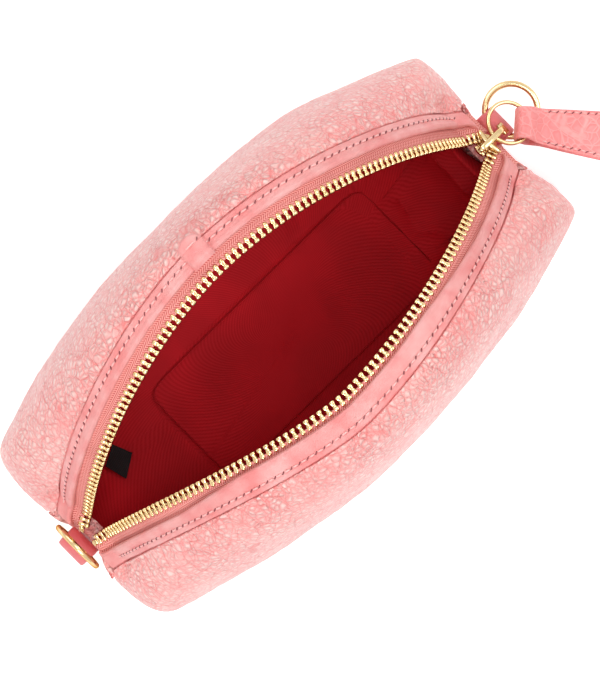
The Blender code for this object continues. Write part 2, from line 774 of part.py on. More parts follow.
def build_ring_tabs(leather):
    bore = loop_radius(RING_OUTER, RING_WIRE, TAB_WIDTH)
    for end, name in ((LEFT, "left_ring_tab"), (RIGHT, "right_ring_tab")):
        axis = tab_axis(end)
        path = looped_strip(bore, TAB_LEATHER, TAB_LEAF, True)
        down, outward = np.array([0, 0, -1]), np.array([end, 0, 0])
        widths = np.full(len(path), TAB_WIDTH / 2)

        def place(s, t, w, axis=axis, down=down, outward=outward):
            return axis + down * s + outward * t + np.array([0, w, 0])

        add_object(name, strip_body(path, TAB_LEATHER, widths, place), leather)


def build_rings(metal):
    reach = ring_reach(RING_OUTER, RING_WIRE, TAB_WIDTH)
    across = np.array([0, 1, 0])
    for end, name in ((LEFT, "left_ring"), (RIGHT, "right_ring")):
        axis = tab_axis(end)
        if end == LEFT:
            away = np.array([math.sin(LEFT_RING_LEAN), 0, math.cos(LEFT_RING_LEAN)])
        else:
            away = np.array([1, 0, 0])
        body = ring(axis + away * reach, RING_OUTER - RING_WIRE, RING_WIRE, away, across, 28, 8)
        add_object(name, body, metal, axis)


def pull_ring_axis():
    """Where the pull ring's wire lies on the slider's top plate, under the crown."""
    origin, along, across, out = slider_frame()
    lift = SLIDER_CHANNEL / 2 + SLIDER_PLATE + RUNNING_GAP + PULL_RING_WIRE
    return origin + along * SLIDER_LENGTH * 0.4 + out * lift


def pull_frame():
    """The pull's hinge point, its direction out of the ring, across it and out of its face."""
    tilt = PULL_RING_TILT
    ring_out = np.array([math.cos(tilt), 0, -math.sin(tilt)])
    ring_up = np.array([math.sin(tilt), 0, math.cos(tilt)])
    centre = pull_ring_axis() + ring_out * (PULL_RING_OUTER - PULL_RING_WIRE)
    away = ring_out * math.cos(PULL_TURN) + np.array([0, math.sin(PULL_TURN), 0])
    across = np.cross(ring_up, away)
    reach = ring_reach(PULL_RING_OUTER, PULL_RING_WIRE, PULL_ROOT_WIDTH)
    return centre + away * reach, away, across, ring_up


def build_pull_ring(metal):
    axis = pull_ring_axis()
    ring_out = np.array([math.cos(PULL_RING_TILT), 0, -math.sin(PULL_RING_TILT)])
    radius = PULL_RING_OUTER - PULL_RING_WIRE
    body = ring(axis + ring_out * radius, radius, PULL_RING_WIRE, ring_out, np.array([0, 1, 0]), 28, 6)
    return add_object("pull_ring", body, metal, axis)


def build_pull(leather):
    origin, away, across, up = pull_frame()
    bore = loop_radius(PULL_RING_OUTER, PULL_RING_WIRE, PULL_ROOT_WIDTH)
    leaf = PULL_LENGTH - bore - PULL_LEATHER
    path = looped_strip(bore, PULL_LEATHER, leaf, False)
    dense = []
    for first, second in zip(path[:-1], path[1:]):
        parts = 7 if math.dist(first, second) > leaf / 2 else 1
        dense.extend(first + (second - first) * k / parts for k in range(parts))
    dense.append(path[-1])
    path = np.array(dense)
    shares = np.clip(path[:, 0] / leaf, 0, 1)
    widths = (PULL_ROOT_WIDTH + (PULL_END_WIDTH - PULL_ROOT_WIDTH) * shares**0.8) / 2
    widths = widths * np.sqrt(np.clip(1 - np.clip((shares - 0.82) / 0.19, 0, 1) ** 2, 0.04, 1))

    def place(s, t, w):
        return origin + away * s + across * w + up * t

    return add_object("zip_pull", strip_body(path, PULL_LEATHER, widths, place), leather, origin)


# Inside


def lined(grid, flip):
    """The wall moved in by the lining's inset."""
    normals = grid_normals(grid) * (-1 if flip else 1)
    return grid + normals * LINING_INSET


def build_lining(cloth, card):
    rise = margin(BACK_BULGE) * 4
    for side, name in ((BACK, "back_lining"), (FRONT, "front_lining")):
        edge = margin(length_of(base_outline(side))) * 6
        grid = panel_grid(side, LINING_CELLS, LINING_ROWS, edge, rise, LINING_HIGH_SHARE)
        inner = lined(grid, side == FRONT)[::FINE, ::FINE]
        line = ZipLine(side)
        drop = CHAIN_DEPTH + TAPE_THICKNESS / 2 + LINING_TOP_DROP
        sewn = stations(line, LINING_CELLS, edge)
        row = np.array([line.at(share, TAPE_OUTER * LINING_SEW_SHARE, -drop) for share in sewn])
        inner = np.concatenate([inner, row[None]])
        add_object(name, slab(inner, 0, LINING, side == FRONT), cloth)
    for end, name in ((LEFT, "left_lining"), (RIGHT, "right_lining")):
        half = END_LINING_SHARE
        cells = (END_LINING_CELLS * FINE + 1, GUSSET_CELLS * FINE + 1)
        grid = gusset_grid(end, *cells, -half, half, rise, END_LINING_HIGH_SHARE)
        inner = lined(grid, end == RIGHT)[::FINE, ::FINE]
        add_object(name, slab(inner, 0, LINING, end == RIGHT), cloth)
    frame = (np.zeros(3), np.array([1, 0, 0]), np.array([0, 1, 0]), np.array([0, 0, 1]))
    shape = base_shape(SEAM_GAP * 3, 40)
    add_object("base_lining", extruded(shape, LINING_INSET, LINING_INSET + LINING, frame), cloth)
    board = base_shape(BOARD_MARGIN, 40)
    low = LEATHER + RUNNING_GAP
    add_object("base_board", extruded(board, low, low + BOARD_THICKNESS, frame), card)


def build_label(black):
    """A small bare label sewn flat on the left end's lining, near its back seam."""
    near = LABEL_EDGE_SHARE - LABEL_WIDTH / GUSSET_HALF
    rise = LABEL_HEIGHT * LOWER_SHARE / math.hypot(END_BULGE_HEIGHT, BAG_HALF_LENGTH - BASE_HALF_LENGTH)
    high = LABEL_LOW_SHARE + rise
    grid = gusset_grid(LEFT, 7, 7, near, LABEL_EDGE_SHARE, LABEL_LOW_SHARE, high)
    normals = grid_normals(grid)
    inner = grid + normals * (LINING_INSET + LINING + LABEL_STAND)
    add_object("care_label", slab(inner, 0, LABEL_THICKNESS), black)


def clear_scene():
    for obj in list(bpy.data.objects):
        bpy.data.objects.remove(obj)


def main():
    clear_scene()
    pebbled = finish_of("pebbled_leather", LEATHER_PINK, 0.45, 0)
    smooth = finish_of("smooth_leather", BAND_PINK, 0.4, 0)
    coral = finish_of("coral_leather", PULL_CORAL, 0.45, 0)
    tape = finish_of("zip_tape", TAPE_SALMON, 0.9, 0)
    brass = finish_of("brass", BRASS, 0.25, 1)
    crimson = finish_of("lining_twill", CRIMSON, 0.8, 0)
    board = finish_of("board", BOARD_GREY, 0.9, 0)
    black = finish_of("label", LABEL_BLACK, 0.7, 0)
    build_shell(pebbled)
    build_bands(smooth)
    build_cover(smooth)
    build_tapes(tape)
    build_teeth(brass)
    build_stops(brass)
    build_bottom_stop(brass)
    body = build_slider(brass)
    crown = build_crown(brass)
    hang(crown, body)
    pull_ring = build_pull_ring(brass)
    hang(pull_ring, body)
    hang(build_pull(coral), pull_ring)
    build_ring_tabs(coral)
    build_rings(brass)
    build_lining(crimson, board)
    build_label(black)
    for end, name in ((LEFT, "left"), (RIGHT, "right")):
        print(name, "ring axis", [round(float(v), 5) for v in tab_axis(end)])
    print("slider", [[round(float(v), 5) for v in part] for part in slider_frame()])
    print("pull ring axis", [round(float(v), 5) for v in pull_ring_axis()])
    print("pull", [[round(float(v), 5) for v in part] for part in pull_frame()])


main()
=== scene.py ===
"""Finished look of a small dome-shaped crossbody bag in pebbled leather, standing open on its base.

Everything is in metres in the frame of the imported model: +X runs along the bag to the end where
the zip slider stands, +Y is the back half, -Y the front half, and +Z is up from the base.
"""

from __future__ import annotations

import logging
import math
from dataclasses import dataclass, field
from enum import Enum
from itertools import product
from typing import Sequence

import bmesh
import bpy
import numpy as np
from mathutils import Matrix, Vector


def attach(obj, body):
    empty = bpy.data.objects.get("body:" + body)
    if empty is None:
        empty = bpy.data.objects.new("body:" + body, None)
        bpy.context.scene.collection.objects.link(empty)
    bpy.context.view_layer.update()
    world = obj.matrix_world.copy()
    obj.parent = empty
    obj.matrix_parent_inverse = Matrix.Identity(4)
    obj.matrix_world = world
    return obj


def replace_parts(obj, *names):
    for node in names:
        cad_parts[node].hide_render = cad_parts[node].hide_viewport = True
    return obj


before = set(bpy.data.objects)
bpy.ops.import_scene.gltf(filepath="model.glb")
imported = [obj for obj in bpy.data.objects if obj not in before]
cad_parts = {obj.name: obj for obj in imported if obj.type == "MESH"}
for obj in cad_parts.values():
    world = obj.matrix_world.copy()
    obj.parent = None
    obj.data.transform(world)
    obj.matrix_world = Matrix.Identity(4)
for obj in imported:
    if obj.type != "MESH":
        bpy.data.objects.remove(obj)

MM = 0.001
ROOT = "bag"
LOG = logging.getLogger(ROOT)
Grid = np.ndarray
Triple = tuple[float, float, float]
Material = bpy.types.Material
Socket = bpy.types.NodeSocket

# How many points trace each kind of line
OUTLINE_POINTS, ARCH_POINTS, LINE_POINTS = 4001, 3001, 1201
SEAM_POINTS, THREAD_POINTS, BASE_POINTS = 601, 2001, 160

# What scatters the lattice noise
LATTICE = np.array([127.1, 311.7, 74.7])
SCATTER, SEED_STEP = 43758.5453, 13.7


class Way(Enum):
    """A direction of the bag by the sign of its axis."""

    @property
    def word(self) -> str:
        """What the names of its pieces start with."""
        return self.name.lower()

    def pick(self, pair: Sequence) -> object:
        """Its own one of a pair, given in the order of the class."""
        return pair[list(type(self)).index(self)]


class Side(Way):
    """One half of the bag, by the sign of its Y."""

    BACK = 1
    FRONT = -1


class End(Way):
    """One end of the bag, by the sign of its X."""

    LEFT = -1
    RIGHT = 1


# Numbers spread over space


def eased(value: Grid) -> Grid:
    """A smooth step from 0 to 1 over the same span."""
    held = np.clip(value, 0, 1)
    return held * held * (3 - 2 * held)


def lattice_noise(points: Grid, cell: float, seed: int) -> Grid:
    """Smooth noise between -1 and 1.

    Args:
        points: places in metres, one row each.
        cell: size of one lump of the noise in metres.
        seed: picks one pattern among many.

    Returns:
        One value for each place.
    """
    spot = points / cell + seed * SEED_STEP
    base = np.floor(spot)
    part = spot - base
    part = part * part * (3 - 2 * part)
    total = np.zeros(len(points))
    for corner in product((0, 1), repeat=3):
        turn = np.sin((base + corner) @ LATTICE + seed) * SCATTER
        weight = np.prod(np.where(np.array(corner) == 1, part, 1 - part), axis=1)
        total += weight * (turn - np.floor(turn))
    return total * 2 - 1


def interpolated(places: Grid, where: Grid, table: Grid) -> Grid:
    """Rows of a table at places between those where its own rows stand."""
    return np.stack([np.interp(places, where, column) for column in table.T], axis=-1)


def run_along(points: Grid, axis: int = 0) -> Grid:
    """Distance travelled at each point of a line or a grid, along one of its directions."""
    steps = np.diff(points, axis=axis, prepend=np.take(points, [0], axis=axis))
    return np.cumsum(np.linalg.norm(steps, axis=-1), axis=axis)


def resampled(points: Grid, count: int) -> Grid:
    """Points spread evenly along a polyline, from its first to its last."""
    travelled = run_along(points)
    return interpolated(np.linspace(0, travelled[-1], count), travelled, points)


def calmed(line: Grid, passes: int) -> Grid:
    """A line evened in place over some passes, with its ends held."""
    for _ in range(passes):
        line[1:-1] = (line[:-2] + 2 * line[1:-1] + line[2:]) / 4
    return line


def length_of(points: Grid) -> float:
    """Length of a polyline."""
    return float(np.linalg.norm(np.diff(points, axis=0), axis=1).sum())


def unit(vectors: Grid) -> Grid:
    """The same directions at length one."""
    return vectors / np.maximum(np.linalg.norm(vectors, axis=-1, keepdims=True), 1e-12)


def around(count: int) -> Grid:
    """Angles spread evenly round a full turn."""
    return np.linspace(0, 2 * math.pi, count, endpoint=False)


def boxed(wave: Grid, power: float) -> Grid:
    """A wave between -1 and 1, pushed out towards a square one by a power under one."""
    return np.sign(wave) * np.abs(wave) ** power


# Shape of the bag


@dataclass(frozen=True)
class Mouth:
    """The open mouth and the two arched zip lines that bound it.

    Pairs stand as back, front. The powers that shape each arch are given for its left, then its right.
    """

    top: float = 143.0 * MM
    end_height: float = 58.0 * MM
    half_length: float = 109.5 * MM
    round_share: float = 0.9
    shelf: float = 6.5 * MM
    tilt: float = math.radians(30)
    openings: tuple[float, float] = (37.3 * MM, 30.5 * MM)
    end_half: float = 2.4 * MM
    powers: tuple = (((1.8, 0.9), (1.9, 0.93)), ((1.45, 1.3), (1.8, 0.93)))

    def height(self, xi: Grid) -> Grid:
        """Height of the zip at a share of the arch's half length."""
        drop = 1 - np.sqrt(1 - (self.round_share * xi) ** 2)
        full = 1 - math.sqrt(1 - self.round_share**2)
        return self.top - (self.top - self.end_height) * drop / full

    def half(self, side: Side, xi: Grid) -> Grid:
        """Distance of the tooth line from the middle at a share of the arch's half length."""
        share = np.clip(np.abs(xi) / (1 + self.shelf / self.half_length), 0, 1)
        left, right = ((1 - share**rise) ** bow for rise, bow in side.pick(self.powers))
        return self.end_half + (side.pick(self.openings) - self.end_half) * np.where(xi < 0, left, right)


class ZipLine:
    """The tooth line of one half, with directions out over the leather and up out of the tape."""

    reach = 15
    straightening = 5

    def __init__(self, mouth: Mouth, side: Side, left: float | None = None, right: float | None = None) -> None:
        """Trace the line.

        Args:
            mouth: shape of the mouth.
            side: which half.
            left: how far the line runs on past the arch at the left.
            right: the same at the right.
        """
        self.mouth, self.sign = mouth, side.value
        left = mouth.shelf if left is None else left
        right = mouth.shelf if right is None else right
        x = np.linspace(-mouth.half_length - left, mouth.half_length + right, ARCH_POINTS)
        xi = x / mouth.half_length
        over = np.maximum(np.abs(x) - mouth.half_length, 0)
        z = mouth.height(np.clip(xi, -1, 1)) - over * math.tan(mouth.tilt)
        line = np.column_stack([x, self.sign * mouth.half(side, xi), z])
        self.length = length_of(line)
        self.points = resampled(line, LINE_POINTS)
        self.tangents = self._tangents()
        self.outs = self._outs()
        ups = np.cross(self.tangents, self.outs)
        self.ups = ups * np.sign(ups[len(ups) // 2, 2])

    def _tangents(self) -> Grid:
        """Directions along the line, averaged over a short stretch."""
        turned = np.pad(np.gradient(self.points, axis=0), ((self.reach, self.reach), (0, 0)), mode="edge")
        window = np.ones(2 * self.reach + 1) / (2 * self.reach + 1)
        return unit(np.column_stack([np.convolve(column, window, mode="valid") for column in turned.T]))

    def _outs(self) -> Grid:
        """Level directions away from the mouth, straight across at its ends."""
        across = unit(np.column_stack([-self.tangents[:, 1], self.tangents[:, 0]]) * self.sign)
        near_end = np.clip(np.abs(self.points[:, 0]) / self.mouth.half_length, 0, 1)[:, None]
        straight = near_end**self.straightening
        mixed = unit(across * (1 - straight) + np.array([0, self.sign]) * straight)
        return np.column_stack([mixed, np.zeros(len(mixed))])

    def at(self, shares: Grid, out: Grid | float, up: Grid | float) -> Grid:
        """Points at shares of the line's length, moved outwards and up."""
        point, outs, ups, _ = self.frames(shares)
        return point + np.asarray(out)[..., None] * outs + np.asarray(up)[..., None] * ups

    def frames(self, shares: Grid) -> tuple[Grid, ...]:
        """Points, outward, upward and forward directions at shares of the line's length."""
        place = np.clip(shares, 0, 1) * (len(self.points) - 1)
        where = np.arange(len(self.points))
        return tuple(interpolated(place, where, t) for t in (self.points, self.outs, self.ups, self.tangents))

    def share_of_x(self, x: float) -> float:
        """Share of the line's length at which it passes an X."""
        return float(np.interp(x, self.points[:, 0], np.linspace(0, 1, len(self.points))))


@dataclass(frozen=True)
class BagForm:
    """The body's outer surface: walls that rise from the base over a bulge to the zip bands.

    Pairs stand as back, front or as left, right. A drop is the share by which the bulge narrows
    towards an end, the power of that narrowing and the power of the corner.
    """

    half_length: float = 119.3 * MM
    bulges: tuple[float, float] = (70.0 * MM, 65.6 * MM)
    drops: tuple = (((0.28, 2.4, 55), (0.36, 2.6, 150)), ((0.33, 1.7, 36), (0.325, 2.25, 190)))
    corner: float = 0.25
    puffs: tuple = ((1.4 * MM, 1.8 * MM), (0.3 * MM, 3.2 * MM))
    puff_reach: float = 12.0 * MM
    bulge_height: float = 50.0 * MM
    end_bulge_height: float = 40.0 * MM
    dent: float = 4.8 * MM
    dent_reach: float = 11.0 * MM
    base_half_length: float = 58.0 * MM
    base_half_width: float = 27.0 * MM
    base_squareness: int = 8
    gusset_base_half: float = 13.0 * MM
    gusset_half: float = 19.0 * MM
    gusset_top_half: float = 13.2 * MM
    gusset_tops: tuple[float, float] = (50.0 * MM, 47.3 * MM)
    gusset_lean: float = 0.6 * MM
    band_seam: float = 14.0 * MM
    lower_share: float = 0.45
    mouth: Mouth = field(default_factory=Mouth)

    def dent_at(self, y: Grid) -> Grid:
        """How far the end wall is pressed in at a distance from the middle."""
        return self.dent * np.exp(-((y / self.dent_reach) ** 4))

    def bulge_outline(self, side: Side) -> Grid:
        """Widest outline of one half, from its left seam to its right seam."""
        xi = np.cos(np.linspace(math.pi, 0, OUTLINE_POINTS))
        halves = []
        for drop, power, squareness in side.pick(self.drops):
            corner = (1 - np.abs(xi) ** squareness) ** self.corner
            halves.append(side.pick(self.bulges) * (1 - drop * np.abs(xi) ** power) * corner)
        y = np.where(xi < 0, *halves)
        x = self.half_length * xi - np.sign(xi) * self.dent_at(y)
        rise = np.sqrt(np.clip((y - self.gusset_half) / self.puff_reach, 0, 1))
        x = x + np.sign(xi) * np.where(xi < 0, *side.pick(self.puffs)) * rise * eased(np.abs(xi) * 4 - 3)
        end_x = self.half_length - self.dent_at(np.array(self.gusset_half))
        return self.between_seams(side, x, y, end_x, self.gusset_half)

    def base_outline(self, side: Side) -> Grid:
        """Base outline of one half, from its left seam to its right seam."""
        xi = np.cos(np.linspace(math.pi, 0, OUTLINE_POINTS))
        y = self.base_half_width * (1 - np.abs(xi) ** self.base_squareness) ** self.corner
        x = self.base_half_length * xi
        return self.between_seams(side, x, y, self.base_half_length, self.gusset_base_half)

    @staticmethod
    def between_seams(side: Side, x: Grid, y: Grid, end_x: float, seam_y: float) -> Grid:
        """An outline of one half, cut off where the end walls are sewn on."""
        kept = y >= seam_y
        ends = [[[turn * end_x, side.value * seam_y]] for turn in (-1, 1)]
        return np.vstack([ends[0], np.column_stack([x[kept], side.value * y[kept]]), ends[1]])

    def base_loop(self) -> Grid:
        """Closed outline of the whole base."""
        loop = np.vstack([self.base_outline(Side.FRONT), self.base_outline(Side.BACK)[::-1]])
        return resampled(np.vstack([loop, loop[:1]]), BASE_POINTS + 1)[:-1]

    def wall(self, base: Grid, bulge: Grid, top: Grid, shares: Grid) -> Grid:
        """Rows of points up a wall: a quarter arc to the bulge, then one to the top.

        Args:
            base: X and Y of the base seam, one row for each column of the wall.
            bulge: widest points.
            top: top points.
            shares: height shares of the rows.

        Returns:
            Points by row and column.
        """
        rows = []
        for share in shares:
            if share <= self.lower_share:
                turn = share / self.lower_share * math.pi / 2
                flat = base + (bulge[:, :2] - base) * math.sin(turn)
                rise = bulge[:, 2] * (1 - math.cos(turn))
            else:
                turn = (share - self.lower_share) / (1 - self.lower_share) * math.pi / 2
                flat = top[:, :2] + (bulge[:, :2] - top[:, :2]) * math.cos(turn)
                rise = bulge[:, 2] + (top[:, 2] - bulge[:, 2]) * math.sin(turn)
            rows.append(np.column_stack([flat, rise]))
        return np.array(rows)

    def panel(self, side: Side, across: Grid, shares: Grid) -> Grid:
        """Rows of points over the front or back panel, from its base seam to its band seam."""
        place, where = across * (SEAM_POINTS - 1), np.arange(SEAM_POINTS)
        low = interpolated(place, where, resampled(self.base_outline(side), SEAM_POINTS))
        mid = interpolated(place, where, resampled(self.bulge_outline(side), SEAM_POINTS))
        reach = np.clip(np.abs(mid[:, 0]) / self.half_length, 0, 1)
        height = self.bulge_height + (self.end_bulge_height - self.bulge_height) * reach**2
        top = ZipLine(self.mouth, side).at(across, self.band_seam, 0.0)
        return self.wall(low, np.column_stack([mid, height]), top, shares)

    def gusset(self, end: End, across: Grid, shares: Grid) -> Grid:
        """Rows of points over an end wall, from its base seam to its top edge."""
        y, sign, level = across * self.gusset_half, end.value, np.ones(len(across))
        x = self.half_length - self.dent_at(y)
        low = np.column_stack([level * sign * self.base_half_length, across * self.gusset_base_half])
        mid = np.column_stack([sign * x, y, level * self.end_bulge_height])
        top_x, top_y = sign * (x - self.gusset_lean), across * self.gusset_top_half
        top = np.column_stack([top_x, top_y, level * end.pick(self.gusset_tops)])
        return self.wall(low, mid, top, shares)


# Meshes


def grid_normals(grid: Grid) -> Grid:
    """Unit normals of a grid of points, by cross product of its two directions."""
    along = np.gradient(grid, axis=1, edge_order=2)
    up = np.gradient(grid, axis=0, edge_order=2)
    return unit(np.cross(along, up))


@dataclass
class Body:
    """Points and faces of one closed surface, or several that are joined in one object."""

    points: Grid
    faces: list[tuple[int, ...]]
    uvs: Grid | None = None

    @staticmethod
    def joined(bodies: Sequence["Body"]) -> "Body":
        """All the bodies in one."""
        faces, shift = [], 0
        for body in bodies:
            faces.extend(tuple(k + shift for k in face) for face in body.faces)
            shift += len(body.points)
        return Body(np.vstack([body.points for body in bodies]), faces)


def sheet_body(outer: Grid, inner: Grid) -> Body:
    """A closed sheet between two grids of the same size, with lengths of cloth as its UVs."""
    rows, columns = outer.shape[:2]
    shift = rows * columns
    index = np.arange(shift).reshape(rows, columns)
    quads = np.stack([index[:-1, :-1], index[:-1, 1:], index[1:, 1:], index[1:, :-1]], axis=-1).reshape(-1, 4)
    faces = [tuple(q) for q in quads.tolist() + (quads[:, ::-1] + shift).tolist()]
    rim = np.concatenate([index[0], index[1:, -1], index[-1, -2::-1], index[-2:0:-1, 0]]).tolist()
    for a, b in zip(rim, rim[1:] + rim[:1]):
        faces.append((b, a, shift + a, shift + b))
    lengths = run_along(outer[rows // 2]), run_along(outer[:, columns // 2])
    uv = np.stack(np.meshgrid(*lengths), axis=-1).reshape(-1, 2)
    return Body(np.vstack([outer.reshape(-1, 3), inner.reshape(-1, 3)]), faces, np.vstack([uv, uv]))


def tube_body(sections: Grid, closed: bool = False) -> Body:
    """A body through sections with the same number of points.

    Args:
        sections: points by section and place round it.
        closed: joins the last section to the first.

    Returns:
        The body, capped at both ends unless it is closed.
    """
    sections = np.asarray(sections)
    laps, count = sections.shape[:2]
    index = np.arange(laps * count).reshape(laps, count)
    here, following = (index, np.roll(index, -1, axis=0)) if closed else (index[:-1], index[1:])
    turned, next_turned = np.roll(here, -1, axis=1), np.roll(following, -1, axis=1)
    quads = np.stack([here, turned, next_turned, following], axis=-1).reshape(-1, 4)
    faces = [tuple(q) for q in quads.tolist()]
    if not closed:
        faces += [tuple(index[0, ::-1].tolist()), tuple(index[-1].tolist())]
    uv = np.stack(np.meshgrid(run_along(sections[0]), run_along(sections[:, 0])), axis=-1).reshape(-1, 2)
    return Body(sections.reshape(-1, 3), faces, uv)


def slab_body(low: Grid, thickness: float) -> Body:
    """A closed slab over rings of points that lie inside each other."""
    return tube_body(np.concatenate([low[::-1], low + np.array([0, 0, thickness])]), closed=True)


def ring_body(centre: Grid, radius: float, wire: float, plane_x: Grid, plane_y: Grid) -> Body:
    """A round ring whose middle circle lies in the plane of two directions."""
    turn, angle = around(96)[:, None, None], around(20)[None, :, None]
    out = np.cos(turn) * plane_x + np.sin(turn) * plane_y
    normal = np.cross(plane_x, plane_y)
    sections = centre + out * (radius + wire * np.cos(angle)) + normal * wire * np.sin(angle)
    return tube_body(sections, closed=True)


def linked(name: str, data: bpy.types.ID) -> bpy.types.Object:
    """A new object of the scene."""
    obj = bpy.data.objects.new(name, data)
    bpy.context.scene.collection.objects.link(obj)
    return obj


def repainted(node: str, material: Material) -> None:
    """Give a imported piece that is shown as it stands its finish."""
    mesh = bpy.data.objects[node].data
    mesh.materials.clear()
    mesh.materials.append(material)


class Maker:
    """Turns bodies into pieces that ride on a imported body."""

    @staticmethod
    def piece(name: str, body: Body, material: Material, rides: str = ROOT, sharp: float = 40) -> bpy.types.Object:
        """Make one object.

        Args:
            name: piece name.
            body: its surface.
            material: its finish.
            rides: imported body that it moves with.
            sharp: edges sharper than this many degrees stay crisp.

        Returns:
            The new object, already linked and riding.
        """
        mesh = bpy.data.meshes.new(name)
        mesh.from_pydata(body.points.tolist(), [], body.faces)
        if body.uvs is not None:
            layer = mesh.uv_layers.new(name="cloth")
            loops = np.empty(len(mesh.loops), np.int32)
            mesh.loops.foreach_get("vertex_index", loops)
            layer.data.foreach_set("uv", body.uvs[loops].astype(np.float32).reshape(-1))
        bm = bmesh.new()
        bm.from_mesh(mesh)
        bmesh.ops.recalc_face_normals(bm, faces=bm.faces)
        bm.to_mesh(mesh)
        bm.free()
        mesh.shade_smooth()
        mesh.set_sharp_from_angle(angle=math.radians(sharp))
        mesh.materials.append(material)
        obj = linked(name, mesh)
        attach(obj, rides)
        LOG.info("%s: %d points on %s", name, len(mesh.vertices), rides)
        return obj


# Finishes


class Nodes:
    """A node tree with short calls that add and join nodes."""

    def __init__(self, owner: Material | bpy.types.World, shader: str = "Principled BSDF") -> None:
        """Start on a new material's or world's own shader."""
        owner.use_nodes = True
        self.owner, self.tree = owner, owner.node_tree
        self.shader = self.tree.nodes[shader]

    def set(self, **sockets: object) -> None:
        """Set the shader's own sockets, with underscores for spaces in their names."""
        for key, value in sockets.items():
            self.shader.inputs[key.replace("_", " ")].default_value = value

    def add(self, kind: str, inputs: dict[str | int, object] | None = None, **settings: object) -> bpy.types.Node:
        """Add a node.

        Args:
            kind: its type's name after ShaderNode.
            inputs: a value or another node's output for each input.
            settings: its own settings.

        Returns:
            The node.
        """
        node = self.tree.nodes.new(f"ShaderNode{kind}")
        for key, value in settings.items():
            setattr(node, key, value)
        for key, value in (inputs or {}).items():
            if isinstance(value, Socket):
                self.tree.links.new(value, node.inputs[key])
            else:
                node.inputs[key].default_value = value
        return node

    def join(self, output: Socket, socket: str) -> None:
        """Lead an output into one of the shader's sockets."""
        self.tree.links.new(output, self.shader.inputs[socket])

    def place(self, uv: bool = False, scale: Triple = (1, 1, 1)) -> Socket:
        """Coordinates in metres, of the object or of the cloth, stretched by a scale."""
        source = self.add("TexCoord").outputs["UV" if uv else "Object"]
        return self.add("Mapping", {"Vector": source, "Scale": scale}).outputs["Vector"]

    def noise(self, vector: Socket, scale: float, detail: float = 2) -> Socket:
        """Cloudy noise from 0 to 1."""
        return self.add("TexNoise", {"Vector": vector, "Scale": scale, "Detail": detail}).outputs["Fac"]

    def edges(self, vector: Socket, cell: float) -> Socket:
        """Distance to the nearest edge of scattered cells of a size, as a share of it."""
        cells = self.add("TexVoronoi", {"Vector": vector, "Scale": 1 / cell}, feature="DISTANCE_TO_EDGE")
        return cells.outputs["Distance"]

    def vector(self, operation: str, first: Socket, second: object, key: int | str = 1) -> Socket:
        """Arithmetic on vectors."""
        return self.add("VectorMath", {0: first, key: second}, operation=operation).outputs[0]

    def spread(self, value: Socket, low: float, high: float, to_low: float = 0.0, to_high: float = 1.0) -> Socket:
        """A value mapped smoothly from one span to another."""
        inputs = {"Value": value, "From Min": low, "From Max": high, "To Min": to_low, "To Max": to_high}
        return self.add("MapRange", inputs, interpolation_type="SMOOTHSTEP").outputs["Result"]

    def sum(self, first: object, second: object, operation: str = "ADD") -> Socket:
        """Arithmetic on two values."""
        return self.add("Math", {0: first, 1: second}, operation=operation).outputs[0]

    def times(self, first: object, second: object) -> Socket:
        """Two values multiplied."""
        return self.sum(first, second, "MULTIPLY")

    def mix(self, share: object, first: Socket | Triple, second: Socket | Triple) -> Socket:
        """One colour faded into another."""
        colours = (value if isinstance(value, Socket) else (*value, 1) for value in (first, second))
        return self.add("Mix", {"Factor": share, **dict(zip((6, 7), colours))}, data_type="RGBA").outputs[2]

    def bump(self, height: Socket, distance: float) -> None:
        """Relief of a height in metres."""
        self.join(self.add("Bump", {"Height": height, "Distance": distance}).outputs["Normal"], "Normal")

    def seen(self) -> Socket:
        """One where the camera or a reflection looks straight at it, else nought."""
        path = self.add("LightPath").outputs
        either = self.sum(path["Is Camera Ray"], path["Is Glossy Ray"], "MAXIMUM")
        return self.sum(either, path["Is Transmission Ray"], "MAXIMUM")


@dataclass(frozen=True)
class Finish:
    """A finish with its main colour and the one that it fades to."""

    name: str
    colour: Triple
    other: Triple

    def material(self) -> Material:
        """Build the finish."""
        nodes = Nodes(bpy.data.materials.new(self.name))
        self.lay(nodes)
        return nodes.owner

    def lay(self, nodes: Nodes) -> None:
        """Add the finish's own nodes."""
        raise NotImplementedError


